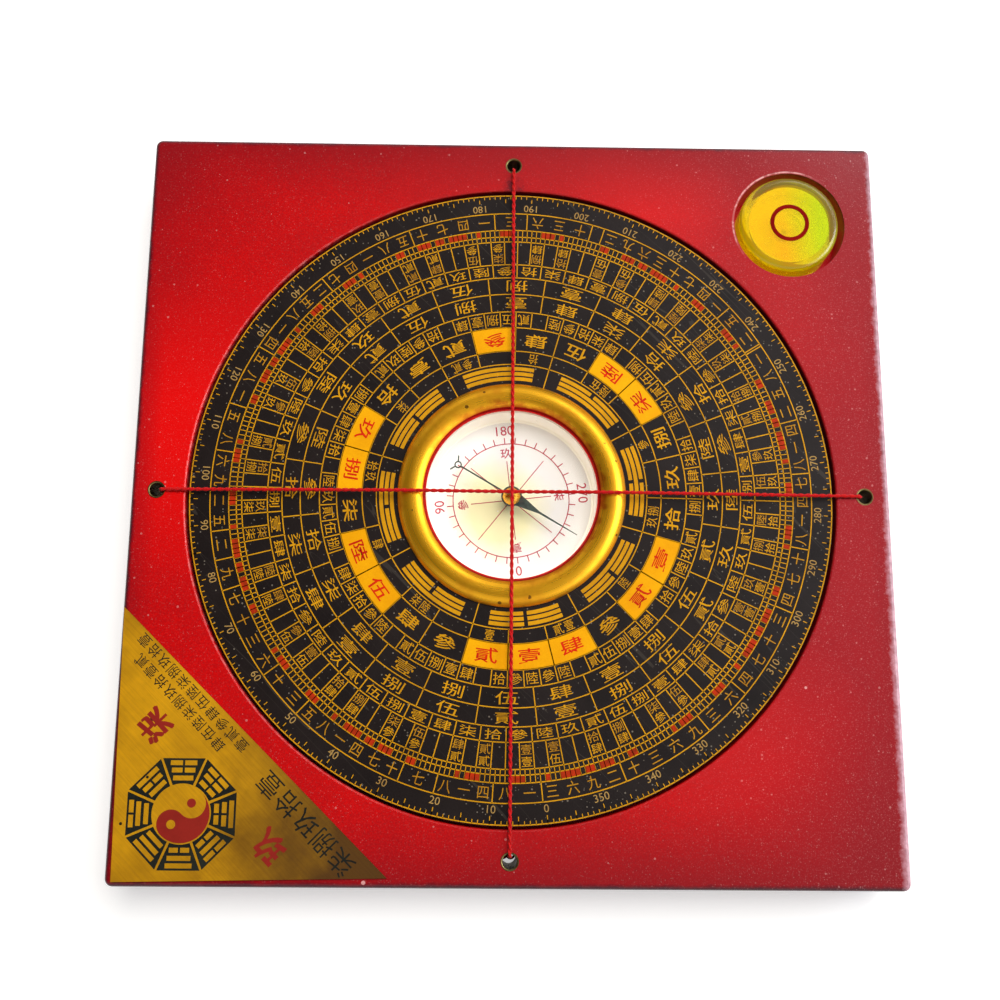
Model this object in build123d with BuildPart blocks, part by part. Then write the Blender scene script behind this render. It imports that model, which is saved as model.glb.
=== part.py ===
from build123d import *
import math
import os

# A feng shui compass: a square lacquered board, a round dial that turns in its recess, a needle
# compass in the middle of the dial, a bullseye level, a brass corner plate and two taut threads
# that cross over the compass.
# Millimetres and degrees. The origin is the middle of the board's underside and +Z is up. +X runs
# to the right edge and +Y to the far edge. The dial and the needle both turn about Z.

# Clearances that several fits share
press_slack = 0.02
seat_slack = 0.05
turn_gap = 0.2

# Dial
dial_radius = 61.65
disc_inset = 0.2
disc_thickness = 5.0
disc_edge_round = 0.4
face_thickness = 0.5
face_drop = 0.6
recess_gap = 0.55

# Compass in the dial's middle
glass_radius = 18.0
glass_thickness = 1.0
glass_drop = 0.5
glass_seat_width = 1.7
gasket_thickness = 0.3
gasket_show = 0.35
bezel_lip = 1.2
bezel_lip_thickness = 0.35
bezel_foot_width = 2.8
bezel_foot_wall = 0.35
bezel_height = 1.9
cup_rim_wall = 0.95
cup_floor = 1.0
cup_corner_round = 0.5
cup_flange_width = 2.0
cup_flange_thickness = 1.2
compass_depth = 5.5
card_thickness = 0.4

# Needle, its cap and its pivot
needle_tip_gap = 1.6
needle_tail_reach = 12.1
needle_thickness = 0.25
needle_hub_radius = 2.0
needle_shoulder_reach = 1.2
needle_shoulder_half_width = 1.25
needle_neck_reach = 6.2
needle_neck_half_width = 0.2
needle_point_half_width = 0.06
needle_tail_half_width = 0.14
needle_ring_radius = 0.72
needle_ring_wall = 0.24
needle_horn_reach = 1.2
needle_horn_angle = 62.0
needle_rest_angle = -30.6
cap_radius = 1.75
cap_height = 1.1
cap_headroom = 0.4
cap_stem_wall = 0.25
cap_stem_drop = 0.25
jewel_radius = 0.62
jewel_thickness = 0.4
jewel_dimple_radius = 0.3
jewel_dimple_depth = 0.2
pivot_radius = 0.4
pivot_point_length = 1.4
pivot_collar_radius = 1.2
pivot_collar_height = 0.4
pivot_stake_depth = 0.7
pivot_tip_gap = 0.03
pivot_tip_radius = 0.04

# Hub under the cup, and what holds it
hub_radius = 4.0
hub_web = 4.0
hub_running_gap = 0.05
hub_end_gap = 0.3
bush_wall = 1.0
bush_flange_width = 2.0
bush_flange_thickness = 0.4
well_gap = 0.6
well_side_gap = 1.0
washer_radius = 6.0
washer_thickness = 0.8
washer_pocket_gap = 1.0
screw_radius = 1.5
screw_length = 4.2
screw_tip_gap = 0.3
screw_head_radius = 2.8
screw_head_height = 1.3
screw_head_round = 0.5
screw_slot_width = 0.7
screw_slot_depth = 0.6
screw_head_recess = 0.6
felt_thickness = 0.8
felt_inner_inset = 4.0
felt_outer_inset = 3.3

# Board
board_rim_width = 10.3
board_corner_radius = 1.4
board_top_round = 0.9
board_foot_round = 0.6
recess_lip_round = 0.4

# Bullseye level
level_radius = 10.0
level_height = 8.0
level_stand = 0.2
level_side_gap = 1.1
level_inset_x = 17.0
level_inset_y = 16.4
level_pocket_shift = 0.35
level_wall = 1.9
level_shoulder_round = 1.2
level_roof = 1.2
level_roof_curve_radius = 230.0
level_base_thickness = 1.2
level_base_wall = 0.8
level_mark_radius = 3.9
level_mark_width = 0.8
level_mark_height = 0.2
level_mark_depth = 0.15
bubble_radius = 2.5
bubble_height = 1.2
bubble_roof_gap = 0.15

# Corner plate
plate_leg = 49.1
plate_thickness = 0.5
plate_inset_x = 1.4
plate_inset_y = 0.9
plate_turn = 1.1

# Threads, their eyelets and their knots
thread_radius = 0.4
thread_gap = 0.05
taut_bend_radius = 15.0
eyelet_inset = 5.5
eyelet_bore_radius = 1.3
eyelet_wall = 0.35
eyelet_stand = 0.05
eyelet_rim_round = 0.25
knot_radius = 1.7
knot_pocket_radius = 3.0
knot_pocket_depth = 4.0

# Radii that follow from these
recess_radius = dial_radius + recess_gap
board_half = recess_radius + board_rim_width
board_side = 2 * board_half
cup_bore_radius = glass_radius + seat_slack
cup_radius = cup_bore_radius + cup_rim_wall
cup_inner_radius = glass_radius - glass_seat_width
cup_hole_radius = cup_radius + seat_slack
cup_flange_radius = cup_radius + cup_flange_width
bezel_radius = cup_hole_radius + bezel_foot_width
bezel_inner_radius = glass_radius - bezel_lip
bezel_crest_radius = (bezel_radius + bezel_inner_radius) / 2
card_radius = cup_inner_radius - cup_corner_round
well_radius = cup_radius + well_side_gap
bush_bore_radius = hub_radius + hub_running_gap
bush_radius = bush_bore_radius + bush_wall
hub_pocket_radius = washer_radius + washer_pocket_gap
eyelet_radius = eyelet_bore_radius + eyelet_wall
eyelet_reach = recess_radius + eyelet_inset
level_x = board_half - level_inset_x
level_y = board_half - level_inset_y
level_cavity_radius = level_radius - level_wall
level_plug_radius = level_radius - level_base_wall
needle_tip_reach = cup_inner_radius - needle_tip_gap

# Heights that follow from these, from the underside up
hub_pocket_depth = screw_head_recess + screw_head_height + washer_thickness + hub_end_gap
well_floor = hub_pocket_depth + hub_web
cup_bottom = well_floor + well_gap
cup_floor_top = cup_bottom + cup_floor
card_top = cup_floor_top + card_thickness
glass_bottom = card_top + compass_depth
glass_top = glass_bottom + glass_thickness
cup_top = glass_top + gasket_thickness
board_top = glass_top + glass_drop
face_top = board_top - face_drop
disc_top = face_top - face_thickness
disc_bottom = disc_top - disc_thickness
felt_top = disc_bottom - turn_gap
recess_floor = felt_top - felt_thickness
hub_end = hub_pocket_depth - hub_end_gap
washer_bottom = hub_end - washer_thickness
bezel_crest = face_top + bezel_height
cap_top = glass_bottom - cap_headroom
needle_top = cap_top - cap_height
needle_bottom = needle_top - needle_thickness
level_top = board_top + level_stand
level_bottom = level_top - level_height
level_cavity_bottom = level_bottom + level_base_thickness
level_roof_middle = level_top - level_roof

# Board

with BuildPart() as base_board:
    with BuildSketch():
        RectangleRounded(board_side, board_side, board_corner_radius)
    extrude(amount=board_top)
    fillet(base_board.faces().sort_by(Axis.Z)[-1].edges(), radius=board_top_round)
    fillet(base_board.faces().sort_by(Axis.Z)[0].edges(), radius=board_foot_round)
    with BuildSketch(Plane.XY.offset(recess_floor)):
        Circle(recess_radius)
    extrude(amount=board_top - recess_floor, mode=Mode.SUBTRACT)
    board_top_face = base_board.faces().filter_by(Plane.XY).sort_by(Axis.Z)[-1]
    fillet(board_top_face.edges().filter_by(GeomType.CIRCLE).sort_by(SortBy.RADIUS)[-1:],
           radius=recess_lip_round)
    with BuildSketch(Plane.XY.offset(well_floor)):
        Circle(well_radius)
    extrude(amount=board_top - well_floor, mode=Mode.SUBTRACT)
    with BuildSketch():
        Circle(hub_pocket_radius)
    extrude(amount=hub_pocket_depth, mode=Mode.SUBTRACT)
    with BuildSketch():
        Circle(bush_radius + press_slack)
    extrude(amount=board_top, mode=Mode.SUBTRACT)
    with BuildSketch(Plane.XY.offset(level_bottom)):
        with Locations((level_x, level_y - level_pocket_shift)):
            Circle(level_radius + level_side_gap)
    extrude(amount=board_top - level_bottom, mode=Mode.SUBTRACT)
    with BuildSketch():
        with PolarLocations(eyelet_reach, 4):
            Circle(eyelet_radius + press_slack)
    extrude(amount=board_top, mode=Mode.SUBTRACT)
    with BuildSketch():
        with PolarLocations(eyelet_reach, 4):
            Circle(knot_pocket_radius)
    extrude(amount=knot_pocket_depth, mode=Mode.SUBTRACT)

# Felt ring that the dial turns on, glued to the recess's floor

with BuildPart() as dial_felt:
    with BuildSketch(Plane.XY.offset(recess_floor)):
        Circle(recess_radius - felt_outer_inset)
        Circle(well_radius + felt_inner_inset, mode=Mode.SUBTRACT)
    extrude(amount=felt_thickness)

# Flanged bush, pressed into the board's web

with BuildPart() as hub_bush:
    with BuildSketch(Plane.XY.offset(hub_pocket_depth)):
        Circle(bush_radius)
    extrude(amount=hub_web)
    with BuildSketch(Plane.XY.offset(well_floor)):
        Circle(bush_radius + bush_flange_width)
    extrude(amount=bush_flange_thickness)
    with BuildSketch(Plane.XY.offset(hub_pocket_depth)):
        Circle(bush_bore_radius)
    extrude(amount=hub_web + bush_flange_thickness, mode=Mode.SUBTRACT)

# Turning disc and the printed face on it

with BuildPart() as dial_disc:
    with BuildSketch(Plane.XY.offset(disc_bottom)):
        Circle(dial_radius - disc_inset)
    extrude(amount=disc_thickness)
    fillet(dial_disc.edges().sort_by(Axis.Z)[0], radius=disc_edge_round)
    with BuildSketch(Plane.XY.offset(disc_bottom)):
        Circle(cup_hole_radius)
    extrude(amount=disc_thickness, mode=Mode.SUBTRACT)
    with BuildSketch(Plane.XY.offset(disc_bottom)):
        Circle(cup_flange_radius + seat_slack)
    extrude(amount=cup_flange_thickness, mode=Mode.SUBTRACT)

with BuildPart() as dial_plate:
    with BuildSketch(Plane.XY.offset(disc_top)):
        Circle(dial_radius)
        Circle(cup_hole_radius, mode=Mode.SUBTRACT)
    extrude(amount=face_thickness)

# Compass cup, with its flange under the disc and its hub in the bush

with BuildPart() as compass_cup:
    with BuildSketch(Plane.XY.offset(cup_bottom)):
        Circle(cup_radius)
    extrude(amount=cup_top - cup_bottom)
    with BuildSketch(Plane.XY.offset(disc_bottom)):
        Circle(cup_flange_radius)
    extrude(amount=cup_flange_thickness)
    with BuildSketch(Plane.XY.offset(cup_floor_top)):
        Circle(cup_inner_radius)
    extrude(amount=cup_top - cup_floor_top, mode=Mode.SUBTRACT)
    cup_floor_face = compass_cup.faces().filter_by(Plane.XY).filter_by_position(
        Axis.Z, cup_floor_top - press_slack, cup_floor_top + press_slack)
    fillet(cup_floor_face.edges(), radius=cup_corner_round)
    with BuildSketch(Plane.XY.offset(glass_bottom)):
        Circle(cup_bore_radius)
    extrude(amount=cup_top - glass_bottom, mode=Mode.SUBTRACT)
    with BuildSketch(Plane.XY.offset(hub_end)):
        Circle(hub_radius)
    extrude(amount=cup_bottom - hub_end)
    with BuildSketch(Plane.XY.offset(hub_end)):
        Circle(screw_radius + press_slack)
    extrude(amount=screw_length + screw_tip_gap, mode=Mode.SUBTRACT)
    with BuildSketch(Plane.XY.offset(cup_floor_top - pivot_stake_depth)):
        Circle(pivot_radius + press_slack)
    extrude(amount=pivot_stake_depth, mode=Mode.SUBTRACT)

with BuildPart() as compass_card:
    with BuildSketch(Plane.XY.offset(cup_floor_top)):
        Circle(card_radius)
        Circle(pivot_radius + seat_slack, mode=Mode.SUBTRACT)
    extrude(amount=card_thickness)

with BuildPart() as cover_glass:
    with BuildSketch(Plane.XY.offset(glass_bottom)):
        Circle(glass_radius)
    extrude(amount=glass_thickness)

with BuildPart() as glass_gasket:
    with BuildSketch(Plane.XY.offset(glass_top)):
        Circle(glass_radius)
        Circle(bezel_inner_radius - gasket_show, mode=Mode.SUBTRACT)
    extrude(amount=gasket_thickness)

# Domed bezel: a foot on the dial's face, a lip over the gasket and a rounded crown between

with BuildPart() as bezel_ring:
    with BuildSketch(Plane.XZ):
        with BuildLine():
            crown_outer = (bezel_radius, face_top + bezel_foot_wall)
            crown_inner = (bezel_inner_radius, cup_top + bezel_lip_thickness)
            Line((cup_hole_radius, face_top), (bezel_radius, face_top))
            Line((bezel_radius, face_top), crown_outer)
            ThreePointArc(crown_outer, (bezel_crest_radius, bezel_crest), crown_inner)
            Line(crown_inner, (bezel_inner_radius, cup_top))
            Line((bezel_inner_radius, cup_top), (cup_hole_radius, cup_top))
            Line((cup_hole_radius, cup_top), (cup_hole_radius, face_top))
        make_face()
    revolve(axis=Axis.Z)

# Pivot pin: staked in the cup's floor, a collar on the card and a fine point under the jewel

jewel_bottom = needle_top + jewel_thickness
pivot_tip = jewel_bottom + jewel_dimple_depth - pivot_tip_gap
pivot_point_start = pivot_tip - pivot_point_length
with BuildPart() as pivot_pin:
    with BuildSketch(Plane.XZ):
        with BuildLine():
            Polyline(
                (0, cup_floor_top - pivot_stake_depth),
                (pivot_radius, cup_floor_top - pivot_stake_depth),
                (pivot_radius, card_top),
                (pivot_collar_radius, card_top),
                (pivot_collar_radius, card_top + pivot_collar_height),
                (pivot_radius, card_top + pivot_collar_height),
                (pivot_radius, pivot_point_start),
                (pivot_tip_radius, pivot_tip),
                (0, pivot_tip),
                close=True,
            )
        make_face()
    revolve(axis=Axis.Z)

# Needle: a steel blank with a round middle, an arrow head and a ringed tail with two horns

cap_stem_radius = jewel_radius + press_slack + cap_stem_wall
with BuildPart() as compass_needle:
    with BuildSketch(Plane.XY.offset(needle_bottom).rotated((0, 0, needle_rest_angle))):
        Circle(needle_hub_radius)
        with BuildLine():
            Polyline(
                (0, needle_shoulder_half_width),
                (needle_shoulder_reach, needle_shoulder_half_width),
                (needle_neck_reach, needle_neck_half_width),
                (needle_tip_reach, needle_point_half_width),
                (needle_tip_reach, -needle_point_half_width),
                (needle_neck_reach, -needle_neck_half_width),
                (needle_shoulder_reach, -needle_shoulder_half_width),
                (0, -needle_shoulder_half_width),
                close=True,
            )
        make_face()
        tail_length = needle_tail_reach - needle_ring_radius + needle_ring_wall / 2
        with Locations((-tail_length / 2, 0)):
            Rectangle(tail_length, 2 * needle_tail_half_width)
        with Locations((-needle_tail_reach, 0)):
            Circle(needle_ring_radius)
            with PolarLocations(needle_ring_radius - needle_ring_wall / 2, 2,
                                start_angle=180 - needle_horn_angle,
                                angular_range=4 * needle_horn_angle):
                with Locations((needle_horn_reach / 2, 0)):
                    Rectangle(needle_horn_reach, needle_ring_wall)
            Circle(needle_ring_radius - needle_ring_wall, mode=Mode.SUBTRACT)
        Circle(cap_stem_radius + press_slack, mode=Mode.SUBTRACT)
    extrude(amount=needle_thickness)

cap_bore_radius = jewel_radius + press_slack
cap_bore_top = jewel_bottom + jewel_thickness + press_slack
cap_stem_bottom = needle_bottom - cap_stem_drop
with BuildPart() as needle_cap:
    with BuildSketch(Plane.XZ):
        with BuildLine():
            TangentArc((0, cap_top), (cap_radius, needle_top), tangent=(1, 0))
            Line((cap_radius, needle_top), (0, needle_top))
            Line((0, needle_top), (0, cap_top))
        make_face()
    revolve(axis=Axis.Z)
    with BuildSketch(Plane.XY.offset(cap_stem_bottom)):
        Circle(cap_stem_radius)
    extrude(amount=needle_top - cap_stem_bottom)
    with BuildSketch(Plane.XY.offset(cap_stem_bottom)):
        Circle(cap_bore_radius)
    extrude(amount=cap_bore_top - cap_stem_bottom, mode=Mode.SUBTRACT)

with BuildPart() as needle_jewel:
    with BuildSketch(Plane.XY.offset(jewel_bottom)):
        Circle(jewel_radius)
    extrude(amount=jewel_thickness)
    with BuildSketch(Plane.XZ):
        with BuildLine():
            Polyline(
                (0, jewel_bottom),
                (jewel_dimple_radius, jewel_bottom),
                (pivot_tip_radius, jewel_bottom + jewel_dimple_depth),
                (0, jewel_bottom + jewel_dimple_depth),
                close=True,
            )
        make_face()
    revolve(axis=Axis.Z, mode=Mode.SUBTRACT)

# Washer and screw that hold the hub from the underside

with BuildPart() as hub_washer:
    with BuildSketch(Plane.XY.offset(washer_bottom)):
        Circle(washer_radius)
        Circle(screw_radius + seat_slack, mode=Mode.SUBTRACT)
    extrude(amount=washer_thickness)

with BuildPart() as hub_screw:
    with BuildSketch(Plane.XY.offset(washer_bottom)):
        Circle(screw_head_radius)
    extrude(amount=-screw_head_height)
    fillet(hub_screw.edges().sort_by(Axis.Z)[0], radius=screw_head_round)
    with BuildSketch(Plane.XY.offset(washer_bottom - screw_head_height)):
        Rectangle(2 * screw_head_radius, screw_slot_width)
    extrude(amount=screw_slot_depth, mode=Mode.SUBTRACT)
    with BuildSketch(Plane.XY.offset(washer_bottom)):
        Circle(screw_radius)
    extrude(amount=washer_thickness + screw_length)

# Level: a clear body with a rounded shoulder and a slightly domed roof, closed by a plug

level_plane = Plane((level_x, level_y, 0), x_dir=(1, 0, 0), z_dir=(0, -1, 0))
level_axis = Axis((level_x, level_y, 0), (0, 0, 1))
roof_drop = level_roof_curve_radius - math.sqrt(level_roof_curve_radius**2 - level_cavity_radius**2)
roof_edge = level_roof_middle - roof_drop
roof_half_drop = level_roof_curve_radius - math.sqrt(
    level_roof_curve_radius**2 - (level_cavity_radius / 2) ** 2)

with BuildPart() as level_body:
    with BuildSketch(Plane.XY.offset(level_bottom)):
        with Locations((level_x, level_y)):
            Circle(level_radius)
    extrude(amount=level_height)
    fillet(level_body.edges().sort_by(Axis.Z)[-1], radius=level_shoulder_round)
    with BuildSketch(level_plane):
        with BuildLine():
            Line((0, level_cavity_bottom), (level_cavity_radius, level_cavity_bottom))
            Line((level_cavity_radius, level_cavity_bottom), (level_cavity_radius, roof_edge))
            ThreePointArc(
                (level_cavity_radius, roof_edge),
                (level_cavity_radius / 2, level_roof_middle - roof_half_drop),
                (0, level_roof_middle),
            )
            Line((0, level_roof_middle), (0, level_cavity_bottom))
        make_face()
    revolve(axis=level_axis, mode=Mode.SUBTRACT)
    with BuildSketch(Plane.XY.offset(level_bottom)):
        with Locations((level_x, level_y)):
            Circle(level_plug_radius + press_slack)
    extrude(amount=level_base_thickness, mode=Mode.SUBTRACT)
    with BuildSketch(Plane.XY.offset(level_top - level_mark_depth)):
        with Locations((level_x, level_y)):
            Circle(level_mark_radius + press_slack)
            Circle(level_mark_radius - level_mark_width - press_slack, mode=Mode.SUBTRACT)
    extrude(amount=level_mark_depth, mode=Mode.SUBTRACT)

with BuildPart() as level_base:
    with BuildSketch(Plane.XY.offset(level_bottom)):
        with Locations((level_x, level_y)):
            Circle(level_plug_radius)
    extrude(amount=level_base_thickness)

with BuildPart() as level_mark:
    with BuildSketch(Plane.XY.offset(level_top - level_mark_depth)):
        with Locations((level_x, level_y)):
            Circle(level_mark_radius)
            Circle(level_mark_radius - level_mark_width, mode=Mode.SUBTRACT)
    extrude(amount=level_mark_height)

# Bubble: a flattened drop of air under the roof, and the liquid that fills the rest

bubble_top = level_roof_middle - bubble_roof_gap
bubble_bottom = bubble_top - bubble_height
bubble_middle = (bubble_top + bubble_bottom) / 2
with BuildPart() as level_bubble:
    with BuildSketch(level_plane):
        with BuildLine():
            bubble_rim = (bubble_radius, bubble_middle)
            TangentArc((0, bubble_top), bubble_rim, tangent=(1, 0))
            TangentArc((0, bubble_bottom), bubble_rim, tangent=(1, 0))
            Line((0, bubble_bottom), (0, bubble_top))
        make_face()
    revolve(axis=level_axis)

liquid_radius = level_cavity_radius - press_slack
liquid_roof = roof_edge - press_slack
with BuildPart() as level_liquid:
    with BuildSketch(Plane.XY.offset(level_cavity_bottom)):
        with Locations((level_x, level_y)):
            Circle(liquid_radius)
    extrude(amount=liquid_roof - level_cavity_bottom)
    with BuildSketch(level_plane):
        with BuildLine():
            hollow_rim = (bubble_radius + press_slack, bubble_middle)
            TangentArc((0, bubble_top + press_slack), hollow_rim, tangent=(1, 0))
            TangentArc((0, bubble_bottom - press_slack), hollow_rim, tangent=(1, 0))
            Line((0, bubble_bottom - press_slack), (0, bubble_top + press_slack))
        make_face()
    revolve(axis=level_axis, mode=Mode.SUBTRACT)

# Corner plate, stuck on the near left corner a little askew

plate_corner = (plate_inset_x - board_half, plate_inset_y - board_half, board_top)
with BuildPart() as corner_plate:
    with BuildSketch(Plane(plate_corner).rotated((0, 0, plate_turn))):
        with BuildLine():
            Polyline((0, 0), (plate_leg, 0), (0, plate_leg), close=True)
        make_face()
    extrude(amount=plate_thickness)

# Eyelets that line the four thread holes

eyelet_top = board_top + eyelet_stand
with BuildPart() as thread_eyelets:
    with BuildSketch(Plane.XY.offset(knot_pocket_depth)):
        with PolarLocations(eyelet_reach, 4):
            Circle(eyelet_radius)
            Circle(eyelet_bore_radius, mode=Mode.SUBTRACT)
    extrude(amount=eyelet_top - knot_pocket_depth)
    fillet(thread_eyelets.faces().sort_by(Axis.Z)[-4:].edges().filter_by(
        lambda edge: edge.radius < eyelet_radius - press_slack), radius=eyelet_rim_round)

# Threads: out of the knot, up the eyelet, over its rim, across the board to the bezel's crest
# and over the compass. The near-far thread lies on the left-right one where they cross.

rim_bend_radius = eyelet_rim_round + thread_radius + thread_gap
thread_drop_reach = eyelet_reach - eyelet_bore_radius + thread_radius + thread_gap
rim_height = eyelet_top + thread_radius + thread_gap
crest_height = bezel_crest + thread_radius + turn_gap
cross_step = thread_radius + thread_gap / 2
knot_height = knot_pocket_depth - math.sqrt(knot_radius**2 - eyelet_bore_radius**2) - thread_gap

lower_points = [
    (-thread_drop_reach, 0, knot_height),
    (-thread_drop_reach, 0, rim_height),
    (-bezel_crest_radius, 0, crest_height),
    (0, 0, crest_height - cross_step),
    (bezel_crest_radius, 0, crest_height),
    (thread_drop_reach, 0, rim_height),
    (thread_drop_reach, 0, knot_height),
]
cross_height = crest_height + cross_step
upper_points = [
    (0, -thread_drop_reach, knot_height),
    (0, -thread_drop_reach, rim_height),
    (0, 0, cross_height),
    (0, thread_drop_reach, rim_height),
    (0, thread_drop_reach, knot_height),
]
lower_radii = [rim_bend_radius, *[taut_bend_radius] * 3, rim_bend_radius]
upper_radii = [rim_bend_radius, taut_bend_radius, rim_bend_radius]
print("thread bend radii", lower_radii, upper_radii)

with BuildPart() as thread_ew:
    with BuildLine() as lower_line:
        FilletPolyline(*lower_points, radius=lower_radii)
    with BuildSketch(Plane(lower_line.line @ 0, z_dir=lower_line.line % 0)):
        Circle(thread_radius)
    sweep(path=lower_line.line)
    with Locations((-eyelet_reach, 0, knot_height), (eyelet_reach, 0, knot_height)):
        Sphere(knot_radius)

with BuildPart() as thread_ns:
    with BuildLine() as upper_line:
        FilletPolyline(*upper_points, radius=upper_radii)
    with BuildSketch(Plane(upper_line.line @ 0, z_dir=upper_line.line % 0)):
        Circle(thread_radius)
    sweep(path=upper_line.line)
    with Locations((0, -eyelet_reach, knot_height), (0, eyelet_reach, knot_height)):
        Sphere(knot_radius)

for name, drawn in (("thread_ew", lower_line), ("thread_ns", upper_line)):
    length = drawn.wire().length
    print(name, "length", round(length, 1), "tube volume", round(length * math.pi * thread_radius**2, 2))

os.makedirs("parts", exist_ok=True)
base_board.part.label = "base_board"
export_step(base_board.part, "parts/base_board.step")
dial_felt.part.label = "dial_felt"
export_step(dial_felt.part, "parts/dial_felt.step")
hub_bush.part.label = "hub_bush"
export_step(hub_bush.part, "parts/hub_bush.step")
dial_disc.part.label = "dial_disc"
export_step(dial_disc.part, "parts/dial_disc.step")
dial_plate.part.label = "dial_plate"
export_step(dial_plate.part, "parts/dial_plate.step")
compass_cup.part.label = "compass_cup"
export_step(compass_cup.part, "parts/compass_cup.step")
compass_card.part.label = "compass_card"
export_step(compass_card.part, "parts/compass_card.step")
cover_glass.part.label = "cover_glass"
export_step(cover_glass.part, "parts/cover_glass.step")
glass_gasket.part.label = "glass_gasket"
export_step(glass_gasket.part, "parts/glass_gasket.step")
bezel_ring.part.label = "bezel_ring"
export_step(bezel_ring.part, "parts/bezel_ring.step")
pivot_pin.part.label = "pivot_pin"
export_step(pivot_pin.part, "parts/pivot_pin.step")
compass_needle.part.label = "compass_needle"
export_step(compass_needle.part, "parts/compass_needle.step")
needle_cap.part.label = "needle_cap"
export_step(needle_cap.part, "parts/needle_cap.step")
needle_jewel.part.label = "needle_jewel"
export_step(needle_jewel.part, "parts/needle_jewel.step")
hub_washer.part.label = "hub_washer"
export_step(hub_washer.part, "parts/hub_washer.step")
hub_screw.part.label = "hub_screw"
export_step(hub_screw.part, "parts/hub_screw.step")
level_body.part.label = "level_body"
export_step(level_body.part, "parts/level_body.step")
level_base.part.label = "level_base"
export_step(level_base.part, "parts/level_base.step")
level_mark.part.label = "level_mark"
export_step(level_mark.part, "parts/level_mark.step")
level_liquid.part.label = "level_liquid"
export_step(level_liquid.part, "parts/level_liquid.step")
level_bubble.part.label = "level_bubble"
export_step(level_bubble.part, "parts/level_bubble.step")
corner_plate.part.label = "corner_plate"
export_step(corner_plate.part, "parts/corner_plate.step")
thread_eyelets.part.label = "thread_eyelets"
export_step(thread_eyelets.part, "parts/thread_eyelets.step")
thread_ns.part.label = "thread_ns"
export_step(thread_ns.part, "parts/thread_ns.step")
thread_ew.part.label = "thread_ew"
export_step(thread_ew.part, "parts/thread_ew.step")
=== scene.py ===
"""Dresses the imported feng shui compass: finishes, printing, twisted threads, the level and a studio."""

from math import cos, floor, pi, radians, sin, tan, tau

import bpy
from bpy.props import FloatProperty, FloatVectorProperty, PointerProperty
from mathutils import Matrix, Vector


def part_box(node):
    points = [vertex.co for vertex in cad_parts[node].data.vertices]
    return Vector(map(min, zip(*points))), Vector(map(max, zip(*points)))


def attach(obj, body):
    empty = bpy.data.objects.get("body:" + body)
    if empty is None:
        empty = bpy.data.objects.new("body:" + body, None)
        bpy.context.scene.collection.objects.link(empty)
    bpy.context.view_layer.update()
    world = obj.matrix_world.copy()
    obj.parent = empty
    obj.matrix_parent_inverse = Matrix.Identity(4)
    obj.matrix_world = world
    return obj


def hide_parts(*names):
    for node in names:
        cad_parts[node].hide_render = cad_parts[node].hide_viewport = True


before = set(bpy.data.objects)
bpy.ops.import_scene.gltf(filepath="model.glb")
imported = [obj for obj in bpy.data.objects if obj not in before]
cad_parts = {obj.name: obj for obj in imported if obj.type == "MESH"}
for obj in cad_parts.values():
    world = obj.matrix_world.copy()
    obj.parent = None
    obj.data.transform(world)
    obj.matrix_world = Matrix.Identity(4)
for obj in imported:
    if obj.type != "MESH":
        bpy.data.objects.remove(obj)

bl_info = {
    "name": "Feng shui compass",
    "version": (1, 0, 0),
    "blender": (4, 5, 0),
    "location": "3D View > Sidebar > Compass",
    "description": "Finishes, printing, threads and studio of a square feng shui compass",
    "category": "Object",
}

MM = 0.001
BOARD_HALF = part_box("base_board")[1].x
BOARD_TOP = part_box("base_board")[1].z
FACE_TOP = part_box("dial_plate")[1].z
DIAL_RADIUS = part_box("dial_plate")[1].x
DIAL_RADIUS_IN_UNITS = 62.2
DIAL_UNIT = DIAL_RADIUS / DIAL_RADIUS_IN_UNITS
RECESS_GAP = 0.75 * MM
RECESS_RADIUS = DIAL_RADIUS + RECESS_GAP
BEZEL_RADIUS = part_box("bezel_ring")[1].x
BEZEL_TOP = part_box("bezel_ring")[1].z
BEZEL_WIDTH = 5.05 * MM
BEZEL_INNER = BEZEL_RADIUS - BEZEL_WIDTH
CARD_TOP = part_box("compass_card")[1].z
LEVEL_LOW, LEVEL_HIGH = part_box("level_liquid")
LEVEL_CENTRE = (LEVEL_LOW + LEVEL_HIGH) / 2
LEVEL_POCKET_SHIFT = 0.35 * MM
LEVEL_POCKET_GAP = 1.1 * MM
LEVEL_POCKET = LEVEL_CENTRE - Vector((0, LEVEL_POCKET_SHIFT, 0))
LEVEL_POCKET_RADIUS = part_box("level_body")[1].x - LEVEL_CENTRE.x + LEVEL_POCKET_GAP
PLATE_LOW, PLATE_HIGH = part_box("corner_plate")
EYELET_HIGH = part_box("thread_eyelets")[1]
SIMPLE_NUMERALS = "一二三四五六七八九十"
FORMAL_NUMERALS = "壹貳參肆伍陸柒捌玖拾"


def rgb(red, green, blue):
    """A colour as a screen shows it, 0 to 255, in the linear values that Blender works in."""
    shown = [value / 255 for value in (red, green, blue)]
    linear = [v / 12.92 if v <= 0.04045 else ((v + 0.055) / 1.055) ** 2.4 for v in shown]
    return (*linear, 1.0)


def length(description, millimetres):
    return FloatProperty(description=description, default=millimetres * MM, min=0, precision=5, unit="LENGTH")


def power(description, watts):
    return FloatProperty(description=description, default=watts, min=0, unit="POWER")


def colour(description, *shown):
    return FloatVectorProperty(
        description=description, default=rgb(*shown), size=4, min=0, max=1, subtype="COLOR",
    )


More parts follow.
